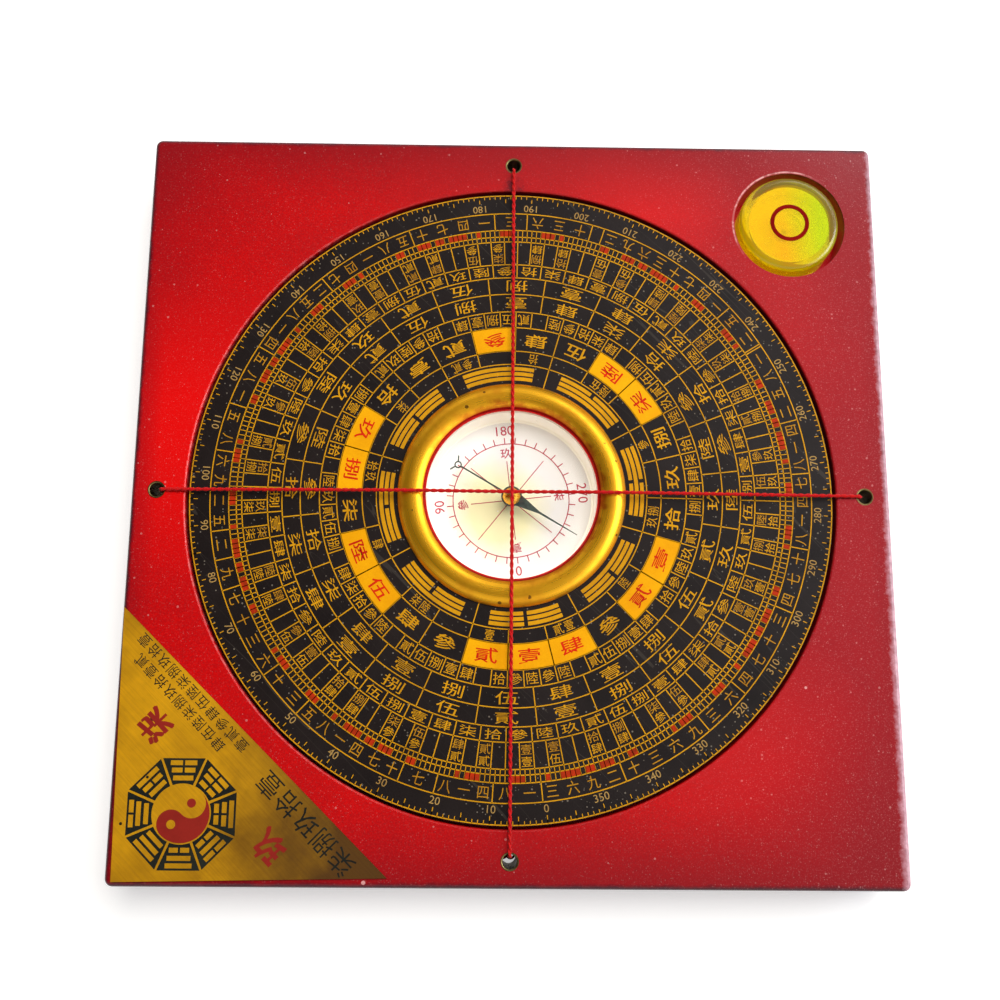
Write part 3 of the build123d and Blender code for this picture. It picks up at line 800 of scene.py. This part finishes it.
RING_RADII = (61.98, 58.1, 54.5, 53.05, 52.0, 47.1, 44.3, 40.8, 37.1, 33.8, 28.9, 26.15)
MANSION_WIDTHS = (
    9.4, 11, 7, 22.75, 9.5, 18, 6, 5.75, 16.25, 9.75, 12.75, 18.75, 20.25, 17.75,
    6.75, 13.5, 2.5, 30.25, 9.5, 0.5, 16.5, 11, 15.25, 12.75, 18, 9.75, 18.25, 16,
)
MANSION_START = 0.5
MANSION_CIRCLE = sum(MANSION_WIDTHS)
GOLD_CELLS = ((0, 3), (67.5, 2), (112.5, 2), (180, 1), (232.5, 2), (307.5, 2))
GOLD_RING = (33.8, 28.9)
CELL = 15
SMALL_CELL_RING = (54.4, 53.15)
RED_RUNS = ((4, 3), (13, 3), (17, 1), (26, 2), (31, 3), (35, 2), (38, 4), (44, 1))
TRIGRAMS = ("000", "100", "101", "100", "111", "011", "010", "001")
TRIGRAM_BARS = (25.62, 24.6, 23.58)
TRIGRAM_BAR_HEIGHT = 0.74
TRIGRAM_HALF_SPAN = 16.2
TRIGRAM_HALF_GAP = 0.85
BOLD = 0.008


def cells_round(first, step):
    """The degrees of cells that repeat all round the dial."""
    return [first + step * i for i in range(round(360 / step))]


def dial_band(outer, inner, degrees):
    """A part of a ring of the dial, as a shape."""
    return flat_band(outer * DIAL_UNIT, inner * DIAL_UNIT, radians(degrees))


class COMPASS_OT_dial_lines(bpy.types.Operator):
    """Print the dial's rings, dividing lines and degree marks"""

    bl_idname = "compass.dial_lines"
    bl_label = "Dial lines"

    def execute(self, context):
        bar = unit_bar()
        line = sizes().line_width
        tick = sizes().tick_width
        marks = []
        for radius in RING_RADII:
            band = flat_band(radius * DIAL_UNIT + line / 2, radius * DIAL_UNIT - line / 2)
            marks.append((band, round_dial(0, 0)))
        starts = [sum(MANSION_WIDTHS[:i]) * 360 / MANSION_CIRCLE for i in range(len(MANSION_WIDTHS))]
        for outer, inner, width, degrees in (
            (58.1, 54.5, line, [MANSION_START + start for start in starts]),
            (54.5, 52.0, tick, cells_round(0.5, 1)),
            (52.0, 47.1, line, cells_round(1.5, 3)),
            (47.1, 44.3, line, cells_round(1.5, 6)),
            (44.3, 37.1, line, cells_round(0, CELL)),
            (37.1, 33.8, line, cells_round(2.5, 5)),
            (33.8, 28.9, line, cells_round(CELL / 2, CELL)),
            (28.9, 26.15, line, cells_round(CELL / 2, CELL)),
            (26.15, 22.1, line, cells_round(22.5, 45)),
            (61.98, 60.45, tick, cells_round(0, 5)),
            (61.98, 61.25, tick, cells_round(0, 1)),
        ):
            middle = (outer + inner) / 2 * DIAL_UNIT
            height = (outer - inner) * DIAL_UNIT
            marks += [(bar, round_dial(degree, middle, width, height)) for degree in degrees]
        gold = ink_finish("gold_ink_lines", colours().gold_ink, colours().gold_ink_worn)
        print_piece("dial_lines", marks, gold)
        return {"FINISHED"}


class COMPASS_OT_dial_numbers(bpy.types.Operator):
    """Print the dial's degrees, every ten, in Arabic numbers"""

    bl_idname = "compass.dial_numbers"
    bl_label = "Dial numbers"

    def execute(self, context):
        height = 1.45 * DIAL_UNIT
        radius = 59.25 * DIAL_UNIT
        degrees = range(0, 360, 10)
        numbers = written([str(degree) for degree in degrees])
        marks = [(numbers[str(degree)], round_dial(degree, radius, height, height)) for degree in degrees]
        pale = ink_finish("gold_ink_numbers", rgb(182, 146, 84), rgb(150, 112, 58))
        print_piece("dial_numbers", marks, pale)
        return {"FINISHED"}


class COMPASS_OT_dial_numerals(bpy.types.Operator):
    """Print the dial's cells: gold grounds, gold numerals on black, red numerals on gold"""

    bl_idname = "compass.dial_numerals"
    bl_label = "Dial numerals"

    def execute(self, context):
        bold = written(FORMAL_NUMERALS, square=True, weight=BOLD)
        formal = written(FORMAL_NUMERALS, square=True)
        simple = written(SIMPLE_NUMERALS, square=True)
        gold_marks = []
        red_marks = []
        brown_marks = []

        def put(marks, shapes, texts, count, degree, layout):
            """One numeral, by how far it is in a count of ten. The layout is its radius, width and height."""
            radius, width, height = [value * DIAL_UNIT for value in layout]
            marks.append((shapes[texts[count % 10]], round_dial(degree, radius, width, height)))

        in_gold = []
        for middle, cells in GOLD_CELLS:
            first = middle - CELL * (cells - 1) / 2
            in_gold += [(first + CELL * i) % 360 for i in range(cells)]
        for i, degree in enumerate(cells_round(0, CELL)):
            marks = red_marks if degree in in_gold else gold_marks
            put(marks, bold, FORMAL_NUMERALS, i, degree, (31.3, 4.5, 2.9))
        for marks, first, step, times, more, layout in (
            (gold_marks, CELL / 2, CELL, 3, 1, (42.55, 4.5, 2.4)),
            (gold_marks, CELL / 2, CELL, 3, 4, (38.95, 4.4, 2.5)),
            (gold_marks, 4.5, 6, 7, 2, (45.7, 3.3, 1.95)),
            (gold_marks, 3, CELL, 1, 0, (50.65, 2.1, 1.9)),
            (gold_marks, 12, CELL, 1, 1, (50.65, 2.1, 1.9)),
            (brown_marks, 3, CELL, 3, 0, (48.45, 2.1, 1.9)),
            (brown_marks, 12, CELL, 3, 1, (48.45, 2.1, 1.9)),
            (gold_marks, 15, 60, 3, 0, (27.5, 1.9, 2.1)),
            (gold_marks, 43, 60, 3, 5, (27.5, 1.9, 2.1)),
            (gold_marks, 47.5, 60, 3, 6, (27.5, 1.9, 2.1)),
        ):
            for i, degree in enumerate(cells_round(first, step)):
                put(marks, formal, FORMAL_NUMERALS, i * times + more, degree, layout)
        for i, degree in enumerate(cells_round(0, 5)):
            if i % 6 != 3:
                put(gold_marks, formal, FORMAL_NUMERALS, i * 7 + 5, degree, (35.45, 2.4, 2.25))
        start = MANSION_START
        for i, width in enumerate(MANSION_WIDTHS):
            span = width * 360 / MANSION_CIRCLE
            many = floor(span / 3.6)
            for step in range(many):
                degree = start + span * (step + 0.5) / many
                put(brown_marks, simple, SIMPLE_NUMERALS, i * 3 + step * 7, degree, (56.3, 2.3, 2.5))
            start += span

        wedge = dial_band(*GOLD_RING, CELL)
        grounds = [(wedge, round_dial(degree, 0)) for degree in in_gold]
        ground = ink_finish("gold_ground", rgb(255, 182, 6), rgb(226, 144, 4), patch=70)
        print_piece("gold_grounds", grounds, ground)
        small_cell = dial_band(*SMALL_CELL_RING, 1)
        runs = [first + i for first, many in RED_RUNS for i in range(many)]
        cells = [(small_cell, round_dial(45 * turn + degree, 0)) for turn in range(8) for degree in runs]
        faded = ink_finish("red_ink_faded", rgb(196, 50, 14), rgb(110, 40, 14), patch=700)
        print_piece("red_degree_cells", cells, faded)
        gold = ink_finish("gold_ink", colours().gold_ink, colours().gold_ink_worn)
        print_piece("dial_numerals", gold_marks, gold)
        brown = ink_finish("gold_ink_thin", rgb(200, 142, 30), rgb(160, 104, 20))
        print_piece("dial_thin_numerals", brown_marks, brown)
        lift = Matrix.Translation((0, 0, sizes().ink_lift))
        red = ink_finish("red_ink", colours().red_ink, rgb(168, 24, 14))
        print_piece("red_numerals", [(shape, lift @ place) for shape, place in red_marks], red)
        return {"FINISHED"}


class COMPASS_OT_dial_trigrams(bpy.types.Operator):
    """Print the eight trigrams round the bezel"""

    bl_idname = "compass.dial_trigrams"
    bl_label = "Trigrams"

    def execute(self, context):
        middle = (TRIGRAM_HALF_SPAN + TRIGRAM_HALF_GAP) / 2
        marks = []
        for i, pattern in enumerate(TRIGRAMS):
            for outer, whole in zip(TRIGRAM_BARS, pattern):
                span = TRIGRAM_HALF_SPAN - TRIGRAM_HALF_GAP
                shifts = (-middle, middle)
                if whole == "1":
                    span = 2 * TRIGRAM_HALF_SPAN
                    shifts = (0,)
                bar = dial_band(outer, outer - TRIGRAM_BAR_HEIGHT, span)
                marks += [(bar, round_dial(45 * i + shift, 0)) for shift in shifts]
        gold = ink_finish("gold_ink_bars", colours().gold_ink, colours().gold_ink_worn)
        print_piece("dial_trigrams", marks, gold)
        return {"FINISHED"}


class COMPASS_OT_housing(bpy.types.Operator):
    """Finish the brass bezel, the cover glass with its gasket, and the white cup"""

    bl_idname = "compass.housing"
    bl_label = "Compass housing"

    def execute(self, context):
        red = (rgb(214, 12, 8), rgb(170, 8, 6))
        dress("bezel_ring", bezel_finish())
        dress("glass_gasket", plastic_finish("gasket_red", *red, 0.4))
        dress("cover_glass", clear_finish("clear_glass", (1, 1, 1, 1), 1.5))
        cup = plastic_finish("cup_white", colours().cup, rgb(244, 240, 232), 0.3)
        # Painted light: the cup glows a warm white, lifting its shaded wall, though it is no lamp.
        cup.keep(Emission_Color=rgb(255, 238, 206), Emission_Strength=0.3)
        dress("compass_cup", cup)
        return {"FINISHED"}


class COMPASS_OT_card(bpy.types.Operator):
    """Finish the card in the cup and print its degree circle"""

    bl_idname = "compass.card"
    bl_label = "Compass card"

    def execute(self, context):
        dress("compass_card", card_finish())
        bar = unit_bar()
        line = 0.19 * MM
        circle = 11.4 * MM
        tick = 1.25 * MM
        marks = [(flat_band(circle + line / 2, circle - line / 2), round_dial(0, 0, level=CARD_TOP))]
        for degree in cells_round(0, 10):
            marks.append((bar, round_dial(degree, circle + tick / 2, line, tick, level=CARD_TOP)))
        for degree in cells_round(0, 45):
            reach = (10.2 if degree % 90 else 7.9) * MM
            marks.append((bar, round_dial(degree, reach / 2, line * 0.8, reach, level=CARD_TOP)))
        numbers = ("0", "90", "180", "270")
        numerals = "壹參玖柒"
        for shapes, texts, radius, size in (
            (written(numbers), numbers, 14.1 * MM, 1.9 * MM),
            (written(numerals, square=True, weight=BOLD), numerals, 9.5 * MM, 2.1 * MM),
        ):
            for text, degree in zip(texts, cells_round(0, 90)):
                marks.append((shapes[text], round_dial(degree, radius, size, size, False, CARD_TOP)))
        ink = ink_finish("card_ink", colours().card_ink, rgb(204, 70, 96))
        print_piece("card_print", marks, ink)
        return {"FINISHED"}


class COMPASS_OT_needle(bpy.types.Operator):
    """Finish the needle, its cap and its bearing"""

    bl_idname = "compass.needle"
    bl_label = "Needle"

    def execute(self, context):
        blued = (colours().needle, rgb(34, 42, 42))
        brass = (rgb(244, 186, 70), rgb(214, 146, 40))
        agate = (rgb(150, 20, 50), rgb(110, 10, 40))
        steel = (rgb(170, 172, 176), rgb(110, 112, 116))
        dress("compass_needle", metal_finish("needle_steel", *blued, 0.3, metallic=0.6))
        dress("needle_cap", metal_finish("cap_brass", *brass, 0.26, 250))
        dress("needle_jewel", plastic_finish("jewel_stone", *agate, 0.1))
        dress("pivot_pin", metal_finish("pivot_steel", *steel, 0.2))
        return {"FINISHED"}


class COMPASS_OT_level(bpy.types.Operator):
    """Finish the bullseye level: its clear body, liquid, bubble and red ring"""

    bl_idname = "compass.level"
    bl_label = "Level"

    def execute(self, context):
        dress("level_body", vial_finish())
        dress("level_base", level_floor_finish())
        liquid = clear_finish("level_liquid", colours().liquid, 1.36, 0.0, 0.0)
        dress("level_liquid", liquid)
        radius = LEVEL_HIGH.x - LEVEL_CENTRE.x
        profile = [(0, LEVEL_LOW.z), (radius, LEVEL_LOW.z), (radius, LEVEL_HIGH.z), (0, LEVEL_HIGH.z)]
        filling = smooth(spun("level_filling", profile, centre=LEVEL_CENTRE.xy))
        finish_piece(filling, "level_filling", liquid, "liquid", ["level_liquid"])
        dress("level_bubble", clear_finish("level_air", (1, 1, 1, 1), 0.735, 0.0, 0.0))
        dress("level_mark", plastic_finish("mark_red", colours().mark, rgb(112, 8, 6), 0.4, gloss=0.05))
        return {"FINISHED"}


PLATE_TRIGRAMS = ("110", "010", "100", "000", "001", "101", "011", "111")
BAGUA_CENTRE = Vector((-59.23, -59.75)) * MM
BAGUA_HALF_WIDTH = 9.8
BAGUA_BARS = ((9.0, 4.8), (7.7, 4.25), (6.3, 3.65))
BAGUA_BAR_HEIGHT = 0.86 * MM
BAGUA_BAR_GAP = 0.4 * MM
BAGUA_DOT = 0.8 * MM
PLATE_FACING = radians(135)
LARGE_MARKS = (("柒", -65.0, -44.1), ("玖", -43.3, -65.4))
LARGE_MARK_SIZE = 5.4 * MM
TEXT_ROWS = ((1.75, 7.0, 2.66, 2.3, 11), (4.7, 9.4, 2.64, 2.3, 9), (2.9, 42.5, 4.72, 4.3, 5))


def bagua_field():
    """One of the ornament's eight dark fields, the one on the near side."""
    inner = 5.35
    gap = 0.2
    side = BAGUA_HALF_WIDTH * tan(pi / 8) - gap / cos(pi / 8)
    half_arc = pi / 8 - 0.045
    arc = [half_arc * (1 - i / 4) for i in range(9)]
    points = [(side, -BAGUA_HALF_WIDTH), *[(inner * sin(a), -inner * cos(a)) for a in arc]]
    points.append((-side, -BAGUA_HALF_WIDTH))
    return flat_outline([(x * MM, y * MM) for x, y in points])


def comma_outline(head=5.1):
    """The dark half of the round ornament in the bagua's middle, as a comma about the origin."""
    lobe = head / 2
    axis = radians(44.5)
    along = Vector((cos(axis), sin(axis)))

    def arc(centre, radius, first, last, steps):
        turns = [first + (last - first) * i / steps for i in range(steps)]
        return [centre + radius * Vector((cos(axis + turn), sin(axis + turn))) for turn in turns]

    points = arc(Vector((0, 0)), head, 0, -pi, 40)
    points += arc(-lobe * along, lobe, pi, 0, 20)
    points += arc(lobe * along, lobe, pi, 2 * pi, 20)
    return flat_outline([point * MM for point in points])


def on_plate(x, y, turn=0.0, width=1.0, height=1.0, layer=1):
    """Where a mark stands on the corner plate. Layers of ink lie on each other."""
    spot = Matrix.Translation((x, y, PLATE_HIGH.z + sizes().ink_lift * layer))
    return spot @ Matrix.Rotation(turn, 4, "Z") @ Matrix.Diagonal((width, height, 1, 1))


class COMPASS_OT_corner_plate(bpy.types.Operator):
    """Finish the corner plate and print its ornaments: the bagua and rows of plain numerals"""

    bl_idname = "compass.corner_plate"
    bl_label = "Corner plate"

    def execute(self, context):
        brass = plate_finish()
        dress("corner_plate", brass)
        bar = unit_bar()
        field = bagua_field()
        black = []
        bare = []
        for i, pattern in enumerate(PLATE_TRIGRAMS):
            turn = radians(45 * i)
            black.append((field, on_plate(*BAGUA_CENTRE, turn)))
            for (reach, width), whole in zip(BAGUA_BARS, pattern):
                long = width * MM
                shifts = (0,)
                if whole == "0":
                    long = (width * MM - BAGUA_BAR_GAP) / 2
                    shifts = (-(long + BAGUA_BAR_GAP) / 2, (long + BAGUA_BAR_GAP) / 2)
                size = Matrix.Diagonal((long, BAGUA_BAR_HEIGHT, 1, 1))
                for shift in shifts:
                    place = Matrix.Translation((shift, -reach * MM, 0)) @ size
                    bare.append((bar, on_plate(*BAGUA_CENTRE, turn, layer=2) @ place))

        red = [(comma_outline(), on_plate(*BAGUA_CENTRE))]
        dot = take_shape(face_up(spun("disc", [(0, 0), (1, 0)], 28)))
        for marks, layer, across, along in ((bare, 2, -1.75, -1.85), (red, 1, 1.75, 1.9)):
            x, y = BAGUA_CENTRE + Vector((across, along)) * MM
            marks.append((dot, on_plate(x, y, 0, BAGUA_DOT, BAGUA_DOT, layer)))
        large = written([text for text, x, y in LARGE_MARKS], square=True, weight=BOLD)
        for text, x, y in LARGE_MARKS:
            for i, shift in enumerate((-0.14, -0.05, 0.05, 0.14)):
                place = Vector((x + shift, y + shift)) * MM
                size = (LARGE_MARK_SIZE, LARGE_MARK_SIZE)
                red.append((large[text], on_plate(*place, PLATE_FACING, *size, 1 + i / 10)))
        small = written(FORMAL_NUMERALS, 2, True)
        top = Vector((PLATE_LOW.x + 0.5 * MM, PLATE_HIGH.y))
        along = Vector((1, -1)).normalized()
        inward = Vector((-1, -1)).normalized()
        for row, (off, first, pitch, size, many) in enumerate(TEXT_ROWS):
            for i in range(many):
                x, y = top + along * ((first + pitch * i) * MM) + inward * (off * MM)
                text = FORMAL_NUMERALS[(many - 1 - i + 3 * row) % 10]
                black.append((small[text], on_plate(x, y, PLATE_FACING, size * MM, size * MM)))
        ink_black = ink_finish("plate_black_ink", colours().plate_black, rgb(44, 46, 38), 0.4)
        ink_red = ink_finish("plate_red_ink", colours().plate_red, rgb(126, 34, 26), 0.4)
        print_piece("plate_black_print", black, ink_black, "base")
        print_piece("plate_bare_bars", bare, brass, "base")
        print_piece("plate_red_print", red, ink_red, "base")
        return {"FINISHED"}


KNOT_SIZE = 1.25 * MM
KNOT_HEIGHT = 2.855 * MM
KNOT_REACH = EYELET_HIGH.x - 1.65 * MM
HOLE_REACH = KNOT_REACH - 0.85 * MM
THREAD_RIM = EYELET_HIGH.z + 0.45 * MM
CREST_REACH = BEZEL_RADIUS - 2.525 * MM
CREST_HEIGHT = BEZEL_TOP + 0.6 * MM
CROSSING_HALF = 0.425 * MM
BEND_REACH = 1.3 * MM


def strand(kind, line, curve):
    """Adds a line of points to a curve."""
    spline = curve.splines.new(kind)
    spline.points.add(len(line) - 1)
    for point, place in zip(spline.points, line):
        point.co = (*place, 1)
    return spline


def spline_points(route):
    """Points along the smooth line through a route, read from its NURBS spline."""
    curve = bpy.data.curves.new("route", "CURVE")
    curve.dimensions = "3D"
    spline = strand("NURBS", route, curve)
    spline.order_u = 3
    spline.use_endpoint_u = True
    spline.resolution_u = 24
    holder = bpy.data.objects.new("route", curve)
    bpy.context.scene.collection.objects.link(holder)
    bpy.context.view_layer.update()
    mesh = bpy.data.meshes.new_from_object(holder)
    points = [corner.co.copy() for corner in mesh.vertices]
    bpy.data.objects.remove(holder)
    return points


def twisted(points, across, start):
    """A ply's line, wound round the thread's line, which stays in the upright plane square to across."""
    offset = sizes().ply_offset
    pitch = sizes().twist_pitch
    line = []
    gone = 0.0
    wait = 0.0
    for before, after in zip(points, points[1:]):
        run = after - before
        if run.length < 1e-9:
            continue
        forward = run.normalized()
        beside = across.cross(forward)
        while wait <= run.length:
            angle = start + tau * (gone + wait) / pitch
            line.append(before + forward * wait + (across * cos(angle) + beside * sin(angle)) * offset)
            wait += pitch / 16
        wait -= run.length
        gone += run.length
    return line


def tube(name, lines, radius):
    """Round strands along lines of points, as one mesh."""
    curve = bpy.data.curves.new(name, "CURVE")
    curve.dimensions = "3D"
    curve.bevel_depth = radius
    curve.bevel_resolution = 2
    curve.use_fill_caps = True
    for line in lines:
        strand("POLY", line, curve)
    piece = bpy.data.objects.new(name, curve)
    bpy.context.scene.collection.objects.link(piece)
    select_only(piece)
    bpy.ops.object.convert(target="MESH")
    return smooth(bpy.context.object, 60)


def knot_line(centre, upright, steps=72):
    """The line of an overhand knot, drawn small enough for its pocket."""
    line = []
    for i in range(steps):
        t = tau * i / steps
        flat = Vector((sin(t) + 2 * sin(2 * t), cos(t) - 2 * cos(2 * t), -1.2 * sin(3 * t))) / 3
        line.append(centre + upright @ (flat * KNOT_SIZE))
    line.append(line[0])
    return line


def half_route(*stations):
    """One side's points from the outside inward, with one more close to each side of each bend."""
    points = [Vector((reach, 0, height)) for reach, height in stations]
    route = [points[0]]
    for before, here, after in zip(points, points[1:], points[2:]):
        route.append(here + (before - here).normalized() * BEND_REACH)
        route.append(here)
        route.append(here + (after - here).normalized() * BEND_REACH)
    return route


class COMPASS_OT_threads(bpy.types.Operator):
    """Twist the two threads from their plies, tie their knots and finish their eyelets"""

    bl_idname = "compass.threads"
    bl_label = "Threads"

    def execute(self, context):
        nickel = (rgb(150, 132, 84), rgb(84, 70, 40))
        dress("thread_eyelets", metal_finish("eyelet_nickel", *nickel, 0.35))
        finish = thread_finish()
        foot = ((HOLE_REACH, KNOT_HEIGHT), (HOLE_REACH, THREAD_RIM))
        lower = CREST_HEIGHT - CROSSING_HALF
        upper = CREST_HEIGHT + CROSSING_HALF
        lower_half = half_route(*foot, (CREST_REACH, CREST_HEIGHT), (0, lower))
        upper_half = half_route(*foot, (0, upper))
        for name, half, middle, turn, start in (
            ("thread_ew", lower_half, lower, 0.0, 0.4),
            ("thread_ns", upper_half, upper, pi / 2, 1.9),
        ):
            end = Vector((0, 0, middle))
            beside = end + (half[-2] - end).normalized() * 2 * BEND_REACH
            mirrored = [Vector((-point.x, 0, point.z)) for point in (beside, *reversed(half))]
            points = spline_points([*half, beside, *mirrored])
            lines = [twisted(points, Vector((0, 1, 0)), start + ply * pi) for ply in (0, 1)]
            for hand in (-1, 1):
                stand = Matrix.Rotation(radians(90 * hand), 3, "Y") @ Matrix.Rotation(0.5, 3, "Z")
                lines.append(knot_line(Vector((hand * KNOT_REACH, 0, KNOT_HEIGHT)), stand))
            piece = tube(name + "_twist", lines, sizes().ply_radius)
            piece.data.transform(Matrix.Rotation(turn, 4, "Z"))
            finish_piece(piece, name + "_twist", finish, "base", [name])
        return {"FINISHED"}


def lamp(name, place, width, depth, power, tone):
    """A rectangular lamp that looks at the origin."""
    light = bpy.data.lights.new(name, "AREA")
    light.shape = "RECTANGLE"
    light.size = width
    light.size_y = depth
    light.energy = power
    light.color = tone
    holder = bpy.data.objects.new(name, light)
    holder.location = place
    holder.rotation_mode = "QUATERNION"
    holder.rotation_quaternion = (-Vector(place)).to_track_quat("-Z", "Y")
    holder.visible_transmission = False
    bpy.context.scene.collection.objects.link(holder)
    return holder


class COMPASS_OT_stage(bpy.types.Operator):
    """Set out the pale floor, the lights, the surround and the camera"""

    bl_idname = "compass.stage"
    bl_label = "Studio"

    def execute(self, context):
        self.floor()
        self.lamps()
        self.surround()
        self.camera()
        context.scene.view_settings.view_transform = "Standard"
        return {"FINISHED"}

    def floor(self):
        bpy.ops.object.select_all(action="DESELECT")
        bpy.ops.mesh.primitive_plane_add(size=studio().floor_size)
        piece = bpy.context.object
        piece.name = "studio_floor"
        finish = Finish("studio_floor", (0.8, 0.8, 0.8, 1), Roughness=0.9)
        seen, mirrored, bent = rays(finish.tree, "Camera", "Glossy", "Transmission")
        glow = add(finish.tree, "Emission", {"Strength": seen.most(mirrored, bent) * 0.5})
        finish.surface(add(finish.tree, "AddShader", {0: finish.shader.outputs[0], 1: glow.outputs[0]}))
        piece.data.materials.append(finish.material)

    def lamps(self):
        cool = (0.86, 0.92, 1)
        warm = (1, 0.96, 0.9)
        lamp("window_light", (0.62, 0.1, 0.42), 0.4, 0.4, studio().key_power, cool)
        lamp("far_window_light", (0.36, 0.56, 0.6), 0.3, 0.4, studio().top_power, cool)
        room = lamp("room_light", (0.12, 0.22, 0.8), 0.5, 0.5, studio().room_power, warm)
        room.visible_glossy = False

    def surround(self):
        """A plain surround for light, a white one for the camera and a room with windows for reflections."""
        world = bpy.data.worlds.new("surround")
        bpy.context.scene.world = world
        world.use_nodes = True
        tree = world.node_tree
        seen, mirrored = rays(tree, "Camera", "Glossy")
        x, y, z = parts_of(tree, add(tree, "TexCoord").outputs["Generated"])
        windows = x.remap(-0.2, 0.45, 0.05, 0.5).most(
            y.remap(-0.3, -0.7, 0.0, 0.9), y.remap(0.45, 0.8, 0.0, 0.8)
        )
        windows = (windows + x.remap(0.45, 0.8, 0.0, 2.4)) * z.remap(0.15, 0.45, 0.25, 1.0)
        horizon = z.remap(0.6, 0.2, 0.0, 0.3)
        lit = (1.0 - mirrored) * studio().surround
        strength = (lit + windows.most(horizon) * mirrored).most(seen)
        background = tree.nodes["Background"]
        background.inputs["Color"].default_value = (1, 1, 1, 1)
        tree.links.new(strength.socket, background.inputs["Strength"])

    def camera(self):
        camera = bpy.data.cameras.new("camera")
        camera.lens = 43.07
        camera.sensor_width = 36
        holder = bpy.data.objects.new("camera", camera)
        holder.location = (-5.04 * MM, -47.14 * MM, 239.68 * MM)
        holder.rotation_mode = "ZYX"
        holder.rotation_euler = (radians(11.571), radians(-0.698), radians(0.6))
        bpy.context.scene.collection.objects.link(holder)
        bpy.context.scene.camera = holder


STEPS = (
    COMPASS_OT_stage, COMPASS_OT_board, COMPASS_OT_dial, COMPASS_OT_dial_lines, COMPASS_OT_dial_numbers,
    COMPASS_OT_dial_numerals, COMPASS_OT_dial_trigrams, COMPASS_OT_housing, COMPASS_OT_card,
    COMPASS_OT_needle, COMPASS_OT_level, COMPASS_OT_corner_plate, COMPASS_OT_threads,
)


class COMPASS_PT_panel(bpy.types.Panel):
    """The compass's steps, sizes and colours"""

    bl_idname = "COMPASS_PT_panel"
    bl_label = "Feng shui compass"
    bl_space_type = "VIEW_3D"
    bl_region_type = "UI"
    bl_category = "Compass"

    def draw(self, context):
        scene = context.scene
        for group in (scene.compass_sizes, scene.compass_colours, scene.compass_studio):
            box = self.layout.box()
            for name in group.__annotations__:
                box.prop(group, name, text=name.replace("_", " ").capitalize())
        for step in STEPS:
            self.layout.operator(step.bl_idname)


GROUPS = {"compass_sizes": CompassSizes, "compass_colours": CompassColours, "compass_studio": CompassStudio}


def register():
    for group in (*GROUPS.values(), *STEPS, COMPASS_PT_panel):
        bpy.utils.register_class(group)
    for name, group in GROUPS.items():
        setattr(bpy.types.Scene, name, PointerProperty(type=group))


def unregister():
    for name in GROUPS:
        delattr(bpy.types.Scene, name)
    for group in reversed((*GROUPS.values(), *STEPS, COMPASS_PT_panel)):
        bpy.utils.unregister_class(group)


def main():
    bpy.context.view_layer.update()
    register()
    make_effects()
    for step in STEPS:
        family, name = step.bl_idname.split(".")
        getattr(getattr(bpy.ops, family), name)()


if __name__ == "__main__":
    main()
